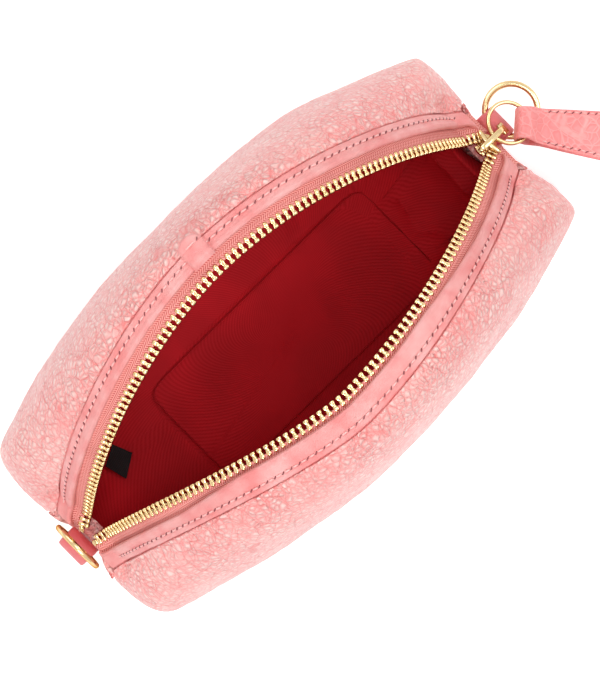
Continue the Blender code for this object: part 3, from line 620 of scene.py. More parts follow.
@dataclass(frozen=True)
class PebbledLeather(Finish):
    """Tumbled leather: pebbles in three sizes with painted highlights on their middles and a painted colour in the
    creases, livelier in some places.

    The other colour is painted into the creases, as painted shade where it is darker and as painted highlight where it
    is paler; the pebble highlight is painted on the pebbles' middles.
    """

    pale: Triple
    pebble: float = 2.6 * MM
    relief: float = 0.5 * MM
    roughness: float = 0.36
    # How much of the painted pebble highlight the pebbles' middles get.
    rim: float = 0.85
    wide: float = 2.4
    fine: float = 0.45
    stretch: Triple = (1.0, 0.45, 0.6)
    bend: float = 1.3

    def lay(self, nodes: Nodes) -> None:
        """Bend the cells' coordinates, raise the pebbles, paint a highlight on their middles and paint the crease
        colour between them.
        """
        place = nodes.place()
        warp = nodes.add("TexNoise", {"Vector": place, "Scale": 0.35 / self.pebble, "Detail": 2.0})
        shift = nodes.vector("SUBTRACT", warp.outputs["Color"], (0.5, 0.5, 0.5))
        bent = nodes.vector("ADD", place, nodes.vector("SCALE", shift, self.pebble * self.bend, "Scale"))
        long = nodes.vector("MULTIPLY", bent, self.stretch)
        wide = nodes.edges(long, self.pebble * self.wide)
        middle = nodes.edges(bent, self.pebble)
        fine = nodes.edges(bent, self.pebble * self.fine)
        lively = nodes.spread(nodes.noise(place, 0.07 / self.pebble, 3), 0.36, 0.6, 0.7)
        broad = nodes.spread(wide, 0.0, 0.14, 0.0, 0.45)
        pebbles = nodes.times(nodes.spread(middle, 0.0, 0.32), lively)
        pores = nodes.spread(fine, 0.0, 0.35, 0.0, 0.22)
        height = nodes.sum(nodes.sum(broad, pebbles), pores)
        nodes.bump(height, self.relief)
        # Painted highlight: random clouds and the pebbles' middles are faded towards the pebble highlight colour.
        cloud = nodes.spread(nodes.noise(place, 0.12 / self.pebble, 3), 0.3, 0.7)
        dome = nodes.times(nodes.spread(middle, 0.08, 0.42, 0.0, self.rim), lively)
        base = nodes.mix(nodes.sum(nodes.times(cloud, 0.4), dome), self.colour, self.pale)
        # Painted crease colour along the cell edges: painted shade in the pink leather, a paler painted highlight in
        # the coral.
        near, far = nodes.spread(middle, 0.0, 0.08, 0.75, 0.0), nodes.spread(wide, 0.0, 0.045, 0.85, 0.0)
        deep = nodes.sum(near, far, "MAXIMUM")
        nodes.join(nodes.mix(nodes.times(deep, lively), base, self.other), "Base Color")
        nodes.join(nodes.spread(height, 0.0, 1.6, self.roughness + 0.14, self.roughness - 0.04), "Roughness")
        nodes.set(Specular_IOR_Level=0.5, Coat_Weight=0.2, Coat_Roughness=0.32)
        nodes.set(Sheen_Weight=0.22, Sheen_Roughness=0.4)


@dataclass(frozen=True)
class SmoothLeather(Finish):
    """Lightly grained leather of folded bands and small tabs."""

    pore: float = 0.5 * MM
    relief: float = 0.1 * MM
    roughness: float = 0.4

    def lay(self, nodes: Nodes) -> None:
        """Fine pores over soft undulations, with a cloudy colour."""
        place = nodes.place()
        grain = nodes.spread(nodes.edges(place, self.pore), 0.0, 0.3)
        cloud, soft = nodes.noise(place, 90, 3), nodes.noise(place, 420)
        nodes.bump(nodes.sum(grain, nodes.times(soft, 3.0)), self.relief)
        nodes.join(nodes.mix(nodes.spread(cloud, 0.25, 0.75), self.colour, self.other), "Base Color")
        nodes.join(nodes.spread(soft, 0.2, 0.8, self.roughness - 0.05, self.roughness + 0.1), "Roughness")
        nodes.set(Specular_IOR_Level=0.45, Coat_Weight=0.08, Coat_Roughness=0.3)


@dataclass(frozen=True)
class PolishedMetal(Finish):
    """Plated metal, a little cloudy, with warm edges."""

    edge: Triple = (0.55, 0.3, 0.12)
    roughness: float = 0.17

    def lay(self, nodes: Nodes) -> None:
        """Cloud the colour and the polish alike."""
        cloud = nodes.noise(nodes.place(), 110, 3)
        nodes.join(nodes.mix(nodes.spread(cloud, 0.3, 0.8, 0.0, 0.7), self.colour, self.other), "Base Color")
        nodes.join(nodes.spread(cloud, 0.2, 0.8, self.roughness - 0.04, self.roughness + 0.05), "Roughness")
        nodes.set(Metallic=1.0, Specular_Tint=(*self.edge, 1))


@dataclass(frozen=True)
class WovenCloth(Finish):
    """Cloth with a diagonal or a ribbed weave that follows its own lengths, darker between its threads."""

    thread: float = 0.55 * MM
    relief: float = 0.06 * MM
    diagonal: bool = True
    roughness: float = 0.75
    sheen: float = 0.25
    chevron: float = 0.0
    # Share of painted shade, laid in soft random patches like the shade of folds.
    wear: float = 0.15

    def lay(self, nodes: Nodes) -> None:
        """Cross two waves, and darken the cloth in soft random patches, painted shade of folds."""
        place = nodes.place(uv=True)
        if self.chevron:
            place = self._zigzag(nodes, place)
        # A wave texture of scale 1 repeats every pi / 10 of its coordinates.
        inputs = {"Vector": place, "Scale": math.pi / 10 / self.thread}
        inputs |= {"Distortion": 0.4, "Detail": 1.0, "Detail Scale": 1.5}
        ways = ("DIAGONAL" if self.diagonal else "Y", "X")
        waves = [nodes.add("TexWave", inputs, bands_direction=way).outputs["Fac"] for way in ways]
        weave = nodes.sum(waves[0], nodes.times(waves[1], 0.35))
        nodes.bump(weave, self.relief)
        # Painted shade: soft random patches fade to a darker copy of the shade colour.
        fold_shade_share = nodes.spread(nodes.noise(nodes.place(scale=(1, 0.6, 0.8)), 34), 0.42, 0.62, 0.0, self.wear)
        tone = nodes.mix(nodes.spread(weave, 0.1, 1.1), self.other, self.colour)
        nodes.join(nodes.mix(fold_shade_share, tone, tuple(c * 0.55 for c in self.other)), "Base Color")
        nodes.join(nodes.spread(weave, 0.0, 1.3, self.roughness + 0.1, self.roughness), "Roughness")
        nodes.set(Sheen_Weight=self.sheen, Sheen_Roughness=0.4, Sheen_Tint=(*self.colour, 1), Specular_IOR_Level=0.3)

    def _zigzag(self, nodes: Nodes, place: Socket) -> Socket:
        """The cloth's coordinates with its ribs bent to and fro across its width."""
        parts = nodes.add("SeparateXYZ", {"Vector": place}).outputs
        lifted = nodes.sum(parts["Y"], nodes.sum(parts["X"], self.chevron, "PINGPONG"))
        return nodes.add("CombineXYZ", {"X": parts["X"], "Y": lifted}).outputs[0]


@dataclass(frozen=True)
class SewingThread(Finish):
    """Twisted thread."""

    relief: float = 0.06 * MM

    def lay(self, nodes: Nodes) -> None:
        """Very fine noise for the twist, with painted shade where it lies deep."""
        twist = nodes.noise(nodes.place(), 2600)
        nodes.bump(twist, self.relief)
        # Painted shade in the twist's hollows.
        nodes.join(nodes.mix(nodes.spread(twist, 0.3, 0.7), self.other, self.colour), "Base Color")
        nodes.set(Roughness=0.6, Sheen_Weight=0.3)


class Finishes:
    """Every finish of the bag."""

    def __init__(self) -> None:
        """Build them all."""
        # Pebbled leathers: main colour, crease colour and pebble highlight. The pink creases are painted shade; the
        # coral creases and both pebble colours are painted highlight.
        pink, pink_crease_shade, pink_pebble_highlight = (0.94, 0.38, 0.36), (0.86, 0.2, 0.19), (0.99, 0.62, 0.57)
        coral, coral_crease_highlight, coral_pebble_highlight = (0.92, 0.23, 0.225), (0.96, 0.42, 0.4), (0.95, 0.32, 0.31)
        self.pebbled = PebbledLeather("pebbled_pink", pink, pink_crease_shade, pink_pebble_highlight).material()
        self.band = SmoothLeather("smooth_pink", (0.88, 0.26, 0.25), (0.95, 0.46, 0.44)).material()
        self.coral = PebbledLeather(
            "pebbled_coral", coral, coral_crease_highlight, coral_pebble_highlight, pebble=3.8 * MM, relief=0.2 * MM, rim=0.4
        ).material()
        self.coral_smooth = SmoothLeather("smooth_coral", (0.82, 0.15, 0.17), (0.88, 0.23, 0.23)).material()
        self.brass = PolishedMetal("pale_brass", (0.79, 0.6, 0.33), (0.6, 0.4, 0.18)).material()
        ribbed = {"thread": 1.1 * MM, "diagonal": False, "sheen": 0.1, "chevron": 1.7 * MM}
        self.tape = WovenCloth("tape_weave", (0.95, 0.45, 0.4), (0.62, 0.11, 0.1), **ribbed).material()
        twill = {"thread": 1.1 * MM, "relief": 0.02 * MM, "sheen": 0.05, "wear": 0.3}
        self.twill = WovenCloth("crimson_twill", (0.64, 0.009, 0.02), (0.55, 0.006, 0.014), **twill).material()
        self.thread = SewingThread("pale_thread", (0.95, 0.56, 0.53), (0.9, 0.42, 0.4)).material()
        # Painted shade of the needle holes.
        self.hole = SewingThread("needle_hole", (0.26, 0.03, 0.04), (0.16, 0.015, 0.02)).material()
        self.label = WovenCloth("black_label", (0.02, 0.018, 0.02), (0.008, 0.008, 0.008), sheen=0.0).material()
        # Darker red of the floor seam, painted shade of its groove.
        self.seam = WovenCloth("crimson_seam", (0.5, 0.005, 0.012), (0.38, 0.004, 0.009), sheen=0.0).material()
        self.board = SmoothLeather("grey_board", (0.3, 0.28, 0.26), (0.36, 0.34, 0.3)).material()


# Sewing


@dataclass(frozen=True)
class Seamstress:
    """Rows of stitches: bent threads that dive into slanted needle slots, each slot a dark dome of painted shade."""

    finishes: Finishes
    pitch: float = 3.8 * MM
    share: float = 0.66
    thread: float = 0.36 * MM
    rise: float = 0.34 * MM
    slot: float = 2.3
    slant: float = 0.9

    def row(self, name: str, path: Grid, ups: Grid, rides: str = ROOT) -> None:
        """Sew along a path.

        Args:
            name: name of the row.
            path: points of the row on the leather's surface.
            ups: directions out of the leather at those points.
            rides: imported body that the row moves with.
        """
        count = max(1, int(length_of(path) / self.pitch))
        where, last = np.arange(THREAD_POINTS), THREAD_POINTS - 1
        dense = resampled(path, THREAD_POINTS)
        ups = unit(interpolated(np.linspace(0, 1, THREAD_POINTS), np.linspace(0, 1, len(path)), ups))
        threads, hole_shades = [], []
        for k in range(count):
            start = (k + (1 - self.share) / 2) / count * last
            spots = start + np.linspace(0, self.share, 7) / count * last
            middle, up = interpolated(spots, where, dense), interpolated(spots, where, ups)
            threads.append(self._thread(middle, up))
            run = unit(middle[-1] - middle[0])
            gap = (1 - self.share) * self.pitch / 2
            along = unit(run + self.slant * np.cross(up[-1], run))
            # A dark dome at each slot, painted shade of the needle hole.
            hole_shades.append(self._hole(middle[-1] + run * gap, up[-1], along))
        Maker.piece(f"{name}_thread", Body.joined(threads), self.finishes.thread, rides)
        Maker.piece(f"{name}_holes", Body.joined(hole_shades), self.finishes.hole, rides)

    def _thread(self, middle: Grid, up: Grid) -> Body:
        """One stitch along a short line."""
        across = unit(np.cross(up, unit(np.gradient(middle, axis=0))))
        share = np.linspace(-1, 1, len(middle))
        lift = self.rise * (1 - share**4) - self.thread * 0.9 * share**8
        girth = self.thread * (0.75 + 0.25 * (1 - share**2))
        angle = around(8)
        sections = []
        for k in range(len(middle)):
            ring = np.outer(np.cos(angle), across[k]) + np.outer(np.sin(angle), up[k] * 0.8)
            sections.append(middle[k] + up[k] * lift[k] + ring * girth[k])
        return tube_body(sections)

    def _hole(self, spot: Grid, up: Grid, along: Grid) -> Body:
        """One slanted needle slot, where two threads dive: a low dark dome, painted shade of the hole."""
        angle, across = around(10), unit(np.cross(up, along))
        ring = np.outer(np.cos(angle), along * self.slot) + np.outer(np.sin(angle), across * 0.7)
        dome = ((1.0, -0.6), (1.0, 0.45), (0.75, 0.85), (0.2, 0.95))
        return tube_body([spot + up * lift * self.thread + ring * radius * self.thread for radius, lift in dome])


# Sub-assemblies


@dataclass
class SubAssembly:
    """What every sub-assembly is worked from."""

    form: BagForm
    finishes: Finishes


@dataclass
class LeatherShell(SubAssembly):
    """Front and back panels, end walls and base, in pebbled leather.

    The top turn gives each added row's way in and rise in millimetres, and its share of the width.
    """

    thickness: float = 1.5 * MM
    tuck: float = 0.75 * MM
    tuck_reach: float = 1.8 * MM
    pucker: float = 1.05 * MM
    pucker_pitch: float = 4.2 * MM
    pucker_reach: float = 9.0 * MM
    wave: float = 0.9 * MM
    wave_cells: tuple[float, float] = (34 * MM, 15 * MM)
    lump: float = 0.09 * MM
    lump_cell: float = 5.5 * MM
    crease_cells: tuple = ((11 * MM, 0.26 * MM), (6 * MM, 0.16 * MM))
    calm_rows: int = 24
    thin_rows: tuple[int, int] = (97, 102)
    top_turn: tuple[Triple, ...] = (
        (0.25, 0.25, 1.0),
        (0.7, 0.45, 1.0),
        (1.4, 0.5, 1.0),
        (2.4, 0.35, 0.99),
        (3.6, -0.1, 0.98),
        (5.0, -0.8, 0.96),
        (6.6, -1.8, 0.94),
    )

    def build(self) -> None:
        """Make and dress every panel."""
        for side in Side:
            node = f"{side.word}_panel"
            grid = self.form.panel(side, np.linspace(0.0006, 0.9994, 461), np.linspace(0.001, 1, 181))
            outward = grid_normals(grid) * -side.value
            grid = self.shaped(grid, outward, seed=side.value + 2)
            body = sheet_body(grid, grid - outward * self.thickness)
            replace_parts(Maker.piece(f"{node}_leather", body, self.finishes.pebbled), node)
        for end in End:
            node = f"{end.word}_gusset"
            grid = self.form.gusset(end, np.linspace(-0.985, 0.985, 61), np.linspace(0.001, 1, 101))
            outward = grid_normals(grid) * end.value
            grid = self.turned_in(self.shaped(grid, outward, seed=end.value + 9, open_top=True), end)
            thick = np.interp(np.arange(len(grid)), self.thin_rows, [self.thickness, self.thickness / 3])
            body = sheet_body(grid, grid - grid_normals(grid) * end.value * thick[:, None, None])
            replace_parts(Maker.piece(f"{node}_leather", body, self.finishes.pebbled), node)
        self.base()

    def turned_in(self, grid: Grid, end: End) -> Grid:
        """An end wall as wide at its top as at its bulge, whose top edge rolls over in under the zip."""
        widest = int(np.argmax(grid[:, -1, 1]))
        grid = grid.copy()
        grid[widest:, :, 1] *= grid[widest, -1, 1] / grid[widest:, -1:, 1]
        for calm in range(self.calm_rows):
            rows = slice(widest + calm, None)
            grid[rows, 1:-1, ::2] = (grid[rows, :-2, ::2] + 2 * grid[rows, 1:-1, ::2] + grid[rows, 2:, ::2]) / 4
            grid[rows, [0, -1], ::2] = grid[rows, [1, -2], ::2]
        rows = [grid]
        for inward, rise, spread in self.top_turn:
            moved = grid[-1] * np.array([1, spread, 1]) + np.array([-end.value * inward * MM, 0, rise * MM])
            rows.append(moved[None])
        return np.concatenate(rows)

    def shaped(self, grid: Grid, outward: Grid, seed: int, open_top: bool = False) -> Grid:
        """Turn the edges under at the seams and add the leather's gathers and soft waves.

        Args:
            grid: smooth surface by row and column.
            outward: its outward normals.
            seed: picks the pattern of the waves.
            open_top: leaves the top edge as it is.

        Returns:
            The shaped surface.
        """
        shape = grid.shape[:2]
        up, along = run_along(grid), run_along(grid, axis=1)
        from_top = up[-1:] - up
        edges = [up, along, along[:, -1:] - along] + ([] if open_top else [from_top])
        fall = np.zeros(shape)
        for distance in edges:
            fall = np.maximum(fall, 1 - np.sqrt(1 - np.clip(1 - distance / self.tuck_reach, 0, 1) ** 2))
        flat = grid.reshape(-1, 3)
        broad, short = (lattice_noise(flat, cell, seed + 5 * k) for k, cell in enumerate(self.wave_cells))
        near = np.zeros(shape) if open_top else np.exp(-((from_top / self.pucker_reach) ** 1.2))
        quiet = eased(np.minimum.reduce(edges) / (2 * self.tuck_reach))
        lumps = lattice_noise(flat, self.lump_cell, seed + 8).reshape(shape) * self.lump
        push = (broad + 0.5 * short).reshape(shape) * self.wave * quiet * (0.4 + 0.6 * eased(from_top / (30 * MM)))
        push += self.gathers(grid, from_top, seed) * near * eased(from_top / (1.5 * MM)) + lumps
        push -= self.creases(flat, seed).reshape(shape) * quiet
        return grid + outward * (push - fall * self.tuck)[..., None]

    def gathers(self, grid: Grid, from_top: Grid, seed: int) -> Grid:
        """Short wrinkles that run down from the band's seam, in two widths."""
        run = np.broadcast_to(run_along(grid[-1]), from_top.shape).reshape(-1)
        drop = from_top.reshape(-1)
        total = np.zeros(len(run))
        for pitch, size in ((self.pucker_pitch, 1.0), (self.pucker_pitch * 0.45, 0.6)):
            spots = np.column_stack([run / pitch, drop / (pitch * 3.2), np.zeros(len(run))])
            total -= size * (1 - np.abs(lattice_noise(spots, 1.0, seed + 3))) ** 4
        return total.reshape(from_top.shape) * self.pucker

    def creases(self, flat: Grid, seed: int) -> Grid:
        """Long soft folds over the whole panel, where the leather has been bent in use."""
        bent = flat + np.column_stack([lattice_noise(flat, 12 * MM, seed + k) for k in (21, 22, 23)]) * 4 * MM
        total = np.zeros(len(flat))
        for cell, depth in self.crease_cells:
            total += depth * (1 - np.abs(lattice_noise(bent * np.array([1.0, 1.0, 0.7]), cell, seed + 31))) ** 8
        return total

    def base(self) -> None:
        """The base panel, a little crowned with its edge turned up to the seam."""
        loop = self.form.base_loop()
        level = np.ones(len(loop))
        edge = ((1.0, 0.9), (0.992, 0.35), (0.975, 0.1), (0.95, 0.02))
        rings = edge + tuple((share, 0.0) for share in (0.9, 0.8, 0.65, 0.5, 0.3, 0.1))
        low = np.array([np.column_stack([loop * share, level * rise * MM]) for share, rise in rings])
        body = slab_body(low, self.thickness)
        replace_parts(Maker.piece("base_panel_leather", body, self.finishes.pebbled), "base_panel")


@dataclass
class ZipBands(SubAssembly):
    """Folded leather bands beside the zip, their stitching and the cover over the back band's joint."""

    nose: float = 6.2 * MM
    seam: float = 13.4 * MM
    thickness: float = 1.6 * MM
    crown: float = 0.5 * MM
    roll: float = 1.1 * MM
    roll_reach: float = 1.5 * MM
    stitch: float = 10.9 * MM
    groove: float = 0.18 * MM
    groove_reach: float = 0.6 * MM
    flange: float = 2.2 * MM
    flange_drop: float = 0.55 * MM
    flange_gap: float = 0.05 * MM
    flange_bevel: float = 0.1 * MM
    front_roll: float = 2.6 * MM
    roll_shares: tuple[float, ...] = (-0.68, -0.45, 0.4, 0.72)
    end_tuck: float = 5.0 * MM
    end_drop: float = 2.6 * MM
    end_shift: float = 2.4 * MM
    wobble: float = 0.12 * MM
    wobble_cell: float = 9 * MM
    pucker: float = 0.2 * MM
    pucker_cell: float = 3.2 * MM
    cover_middle: float = -1.0 * MM
    cover_half: float = 5.0 * MM
    cover_reach: float = 4.6 * MM
    cover_leather: float = 1.6 * MM
    cover_stitch: float = 0.8 * MM
    cover_level: float = 0.7 * MM

    def build(self) -> None:
        """Make both bands, sew them, and cover the joint."""
        sewing = Seamstress(self.finishes)
        shares = np.linspace(0.0008, 0.9992, 701)
        run = shares[14:-14]
        outs, ups = self.profile()
        for side in Side:
            node = f"{side.word}_placket"
            line = ZipLine(self.form.mouth, side)
            points, out_dirs, up_dirs, _ = line.frames(shares)
            tuck = 1 - np.minimum(shares, 1 - shares) * line.length / self.end_tuck
            tuck = 1 - np.sqrt(1 - np.clip(tuck, 0, 1) ** 2)
            shift = -self.inward(side, points[:, 0]) - self.end_shift * tuck
            hold = eased((self.stitch - outs) / (self.stitch - self.nose - self.thickness / 2))
            wobble = lattice_noise(points, self.wobble_cell, 4) * self.wobble
            pucker = lattice_noise(points, self.pucker_cell, 7) * self.pucker
            outer_share = eased((outs - self.stitch) / (self.seam - self.stitch)) * (outs <= self.seam)
            lift = ups[None, :] + wobble[:, None] + pucker[:, None] * outer_share[None, :]
            lift = lift - self.end_drop * tuck[:, None] * (0.25 + 0.75 * hold[None, :])
            reach = outs[None, :] + shift[:, None] * hold[None, :]
            sections = points[:, None] + out_dirs[:, None] * reach[..., None] + up_dirs[:, None] * lift[..., None]
            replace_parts(Maker.piece(f"{node}_leather", tube_body(sections), self.finishes.band), node)
            seam = line.at(run, self.stitch, self.height_at(self.stitch))
            sewing.row(f"{node}_stitches", seam, line.frames(run)[2])
        self.cover()

    def inward(self, side: Side, x: Grid) -> Grid:
        """How much nearer to the teeth the front band's fold lies, along the middle of the mouth."""
        roll = side.pick((0.0, self.front_roll))
        return roll * np.interp(x / self.form.mouth.half_length, self.roll_shares, (0, 1, 1, 0))

    def height_at(self, out: float) -> float:
        """Height of the band's top over the zip line: a flat flap that swells into its fold."""
        share = (out - self.nose) / (self.seam - self.nose)
        swell = math.exp(-(((out - self.nose - self.roll_reach) / self.roll_reach) ** 2))
        return self.crown * math.sin(math.pi * min(max(share, 0), 1)) ** 0.7 + self.roll * swell

    def profile(self) -> tuple[Grid, Grid]:
        """Outline of the band's section: distances out and heights, with a flange under the panel's edge."""
        edge, low = self.nose + self.thickness * 0.6, -self.thickness
        corners = []
        for out in np.linspace(self.seam, edge, 21):
            dip = self.groove * math.exp(-(((out - self.stitch) / self.groove_reach) ** 2))
            corners.append((out, self.height_at(out) - dip))
        top = corners[-1][1]
        radius = (self.thickness + top) / 2
        for turn in np.linspace(0, math.pi, 13)[1:-1]:
            corners.append((edge - math.sin(turn) * self.thickness * 0.6, top - radius + math.cos(turn) * radius))
        corners += [(edge, low), (self.stitch, low)]
        rim = self.seam + self.flange
        corners += [(self.seam, low - self.flange_drop), (rim, low - self.flange_drop)]
        corners += [(rim, low - self.flange_bevel), (self.seam + self.flange_gap, low + self.flange_bevel)]
        outs, ups = zip(*corners)
        return np.array(outs), np.array(ups)

    def cover(self) -> None:
        """The short strip over the joint, with a half-round outer end."""
        line = ZipLine(self.form.mouth, Side.BACK)
        middle = line.share_of_x(self.cover_middle)
        stations = []
        for turn in np.linspace(math.radians(-100), 0, 7):
            out = self.nose + 0.4 * MM - math.cos(turn) * 1.0 * MM
            stations.append((out, -0.6 * MM + (1 + math.sin(turn)) * 1.1 * MM, 1.0))
        for out in np.linspace(self.nose + 0.6 * MM, self.seam, 9):
            stations.append((out, self.height_at(out) + 0.3 * MM, 1.0))
        for share in np.linspace(0.08, 1, 14):
            up = self.cover_level - 0.5 * MM * share**2
            stations.append((self.seam + share * self.cover_reach, up, math.sqrt(max(1 - share**2, 0.004))))
        across = np.linspace(-1, 1, 25)
        edge = 1 - np.abs(across) ** 6
        rows = []
        for out, up, share in stations:
            offsets = middle + across * share * self.cover_half / line.length
            rows.append(line.at(offsets, out, up + self.cover_leather * (0.3 + 0.7 * edge) * min(1.0, share + 0.45)))
        outer = np.array(rows)
        body = sheet_body(outer, outer - np.array([0, 0, self.cover_leather]))
        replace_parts(Maker.piece("joint_cover_leather", body, self.finishes.band), "joint_cover_tab")
        offsets = middle + np.linspace(-0.72, 0.72, 9) * self.cover_half / line.length
        row = line.at(offsets, self.seam + self.cover_stitch, self.cover_level + self.cover_leather)
        sewing = Seamstress(self.finishes, pitch=6.4 * MM, share=0.62)
        sewing.row("joint_cover", row, line.frames(offsets)[2])


@dataclass
class ZipChain(SubAssembly):
    """Tapes, teeth and stops of the zip.

    A tooth's stations give the distance out, the half width and the half height in millimetres.
    """

    cord_out: float = 1.9 * MM
    cord_radius: float = 0.75 * MM
    tape_outer: float = 12.0 * MM
    tape_thickness: float = 0.6 * MM
    tape_inset: float = 0.3 * MM
    depth: float = 2.5 * MM
    pitch: float = 3.17 * MM
    teeth_end: float = 112.9 * MM
    tail: float = 2.6 * MM
    under_slider: float = 2.4 * MM
    crowding: float = 0.4
    averaged: float = 2.0 * MM
    stop_length: float = 3.0 * MM
    stop_gap: float = 0.3 * MM
    tooth_stations: tuple[Triple, ...] = (
        (2.75, 0.5, 0.7),
        (2.6, 0.85, 0.98),
        (2.1, 1.0, 1.12),
        (1.2, 1.02, 1.15),
        (0.6, 0.9, 1.0),
        (0.2, 0.7, 0.8),
        (-0.2, 0.72, 0.78),
        (-0.65, 0.98, 0.92),
        (-1.1, 1.12, 1.02),
        (-1.6, 1.08, 0.9),
        (-1.95, 0.8, 0.6),
        (-2.1, 0.4, 0.25),
    )

    def build(self) -> None:
        """Make both chains."""
        for side in Side:
            self.tape(side)
            self.teeth(side)
            self.stop(side)

    def tape(self, side: Side) -> None:
        """One woven tape with its corded inner edge."""
        shelf = self.form.mouth.shelf
        line = ZipLine(self.form.mouth, side, shelf - self.tape_inset, shelf + self.tail)
        shares = np.linspace(0, 1, 501)
        half = self.tape_thickness / 2
        profile = [(self.tape_outer, half), (9 * MM, half), (6 * MM, half), (3.2 * MM, half)]
        for turn in np.linspace(math.radians(50), math.radians(310), 9):
            profile.append((self.cord_out + math.cos(turn) * self.cord_radius, math.sin(turn) * self.cord_radius))
        profile += [(3.2 * MM, -half), (7 * MM, -half), (self.tape_outer, -half)]
        body = tube_body(np.stack([line.at(shares, out, up - self.depth) for out, up in profile], axis=1))
        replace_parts(Maker.piece(f"{side.word}_tape_cloth", body, self.finishes.tape), f"{side.word}_zip_tape")

    def teeth(self, side: Side) -> None:
        """One row of single teeth, each clamped on the tape's corded edge, crowded at the sharp ends."""
        line = ZipLine(self.form.mouth, side)
        start, end = line.share_of_x(-self.teeth_end), line.share_of_x(self.teeth_end + self.under_slider)
        table = np.linspace(start, end, 2001)
        sharp = np.abs(line.frames(table)[0][:, 0]) > self.form.mouth.half_length - 0.5 * MM
        crowd = 1 + self.crowding * sharp
        travelled = np.concatenate([[0], np.cumsum((crowd[1:] + crowd[:-1]) / 2)]) / 2000 * (end - start)
        count = int(travelled[-1] * line.length / self.pitch)
        places = np.interp((np.arange(count) + 0.25) / count * travelled[-1], travelled, table)
        points, outs, _, _ = line.frames(places)
        near = self.averaged / line.length
        along = unit(line.frames(places + near)[0] - line.frames(places - near)[0])
        outs = unit(outs - (outs * along).sum(axis=1, keepdims=True) * along)
        ups = np.cross(along, outs)
        ups *= np.sign(ups[:, 2:])
        form = self.tooth()
        bodies = []
        for k in range(count):
            turned = form.points @ np.array([along[k], outs[k], ups[k]])
            bodies.append(Body(points[k] - ups[k] * self.depth + turned, form.faces))
        piece = Maker.piece(f"{side.word}_teeth", Body.joined(bodies), self.finishes.brass, sharp=50)
        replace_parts(piece, f"{side.word}_zip_teeth")

    def tooth(self) -> Body:
        """One tooth along, out and up of its own middle: legs, a waist and a scooped head."""
        angles = around(12)
        wide, tall = boxed(np.cos(angles), 0.5), boxed(np.sin(angles), 0.5)
        level = np.ones(len(angles))
        sections = [np.column_stack([wide * half, level * out, tall * high]) for out, half, high in self.tooth_stations]
        return tube_body(np.array(sections) * MM)

    def stop(self, side: Side) -> None:
        """A rounded stop clamped beyond the last tooth at the left end."""
        line = ZipLine(self.form.mouth, side)
        end = line.share_of_x(-self.teeth_end) - self.stop_gap / line.length
        angle = around(14)
        sections = []
        for k, share in enumerate(end - np.linspace(0, self.stop_length, 9) / line.length):
            swell = math.sqrt(max(1 - (k / 4 - 1) ** 4, 0.05))
            outs = 1.0 * MM + np.cos(angle) * 1.5 * MM * swell
            ups = np.sin(angle) * 1.0 * MM * swell - self.depth
            sections.append(line.at(np.full(len(angle), share), outs, ups))
        piece = Maker.piece(f"{side.word}_stop_metal", tube_body(sections), self.finishes.brass)
        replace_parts(piece, f"{side.word}_top_stop")


@dataclass(frozen=True)
class Swing:
    """Where a piece hangs: a point of its hinge, then away from it, across it and out of its face."""

    origin: Triple
    away: Triple
    across: Triple
    out: Triple

    def put(self, along: Grid, across: Grid, out: Grid) -> Grid:
        """Points from distances along the three directions."""
        total = np.array(self.origin)
        for part, axis in zip((along, across, out), (self.away, self.across, self.out)):
            total = total + np.asarray(part)[..., None] * np.array(axis)
        return total


@dataclass(frozen=True)
class LoopedStrip:
    """A leather strip folded round a wire, with its two leaves laid on each other."""

    bore: float
    leather: float
    leaf: float
    gap: float = 0.3 * MM
    leans: bool = False
    finish: float = math.radians(60)
    step: float = 1.2 * MM

    def half(self) -> float:
        """Half the distance between the middles of the two leaves."""
        return (self.leather + self.gap) / 2

    def path(self) -> Grid:
        """Middle line of the strip, along the leaves and through their thickness."""
        radius, half = self.bore + self.leather / 2, self.half()
        start = math.pi / 2 if self.leans else self.finish
        centre = -radius + 2 * half if self.leans else half
        far_neck = self._neck(radius, self.finish, centre)
        turns = np.linspace(-start, -2 * math.pi + self.finish, 33)
        arc = np.column_stack([radius * np.cos(turns), radius * np.sin(turns)])
        if self.leans:
            near = [(self.leaf, -radius), (self.leaf / 2, -radius)]
        else:
            neck = self._neck(radius, start, half)
            near = [(self.leaf, -half), (neck + self.leather, -half), (neck, -half)]
        far = [(far_neck, centre), (far_neck + self.leather, centre), (self.leaf, centre)]
        corners = np.vstack([near, arc, far])
        dense = [corners[:1]]
        for first, second in zip(corners[:-1], corners[1:]):
            parts = max(1, int(math.dist(first, second) / self.step))
            dense.append(first + (second - first) * np.linspace(0, 1, parts + 1)[1:, None])
        return calmed(np.vstack(dense), 3)

    def _neck(self, radius: float, turn: float, level: float) -> float:
        """Where a leaf leaves the bulb."""
        reach = (radius * math.sin(turn) - level) / math.cos(turn)
        return radius * math.cos(turn) + reach * math.sin(turn)

    def body(self, swing: Swing, widths: Grid, path: Grid, puff: float) -> Body:
        """The strip's surface, with rounded edges and a soft swell between them."""
        steps = unit(np.gradient(path, axis=0))
        normals = np.column_stack([-steps[:, 1], steps[:, 0]])
        half = self.leather / 2
        flat = np.linspace(-1, 1, 13)
        turn = np.linspace(-math.pi / 2, math.pi / 2, 7)[1:-1]
        across = np.concatenate([flat, np.ones(5), -flat, -np.ones(5)])
        edge = np.concatenate([flat * 0, np.cos(turn), flat * 0, -np.cos(turn)]) * half
        depth = np.concatenate([np.full(13, -half), np.sin(turn) * half, np.full(13, half), -np.sin(turn) * half])
        swell = 1 + puff * (1 - across**4) * (np.abs(depth) >= half)
        sections = []
        for (s, t), normal, width in zip(path, normals, widths):
            wide, deep = across * (width - half) + edge, depth * swell
            sections.append(swing.put(s + normal[0] * deep, wide, t + normal[1] * deep))
        return tube_body(sections)


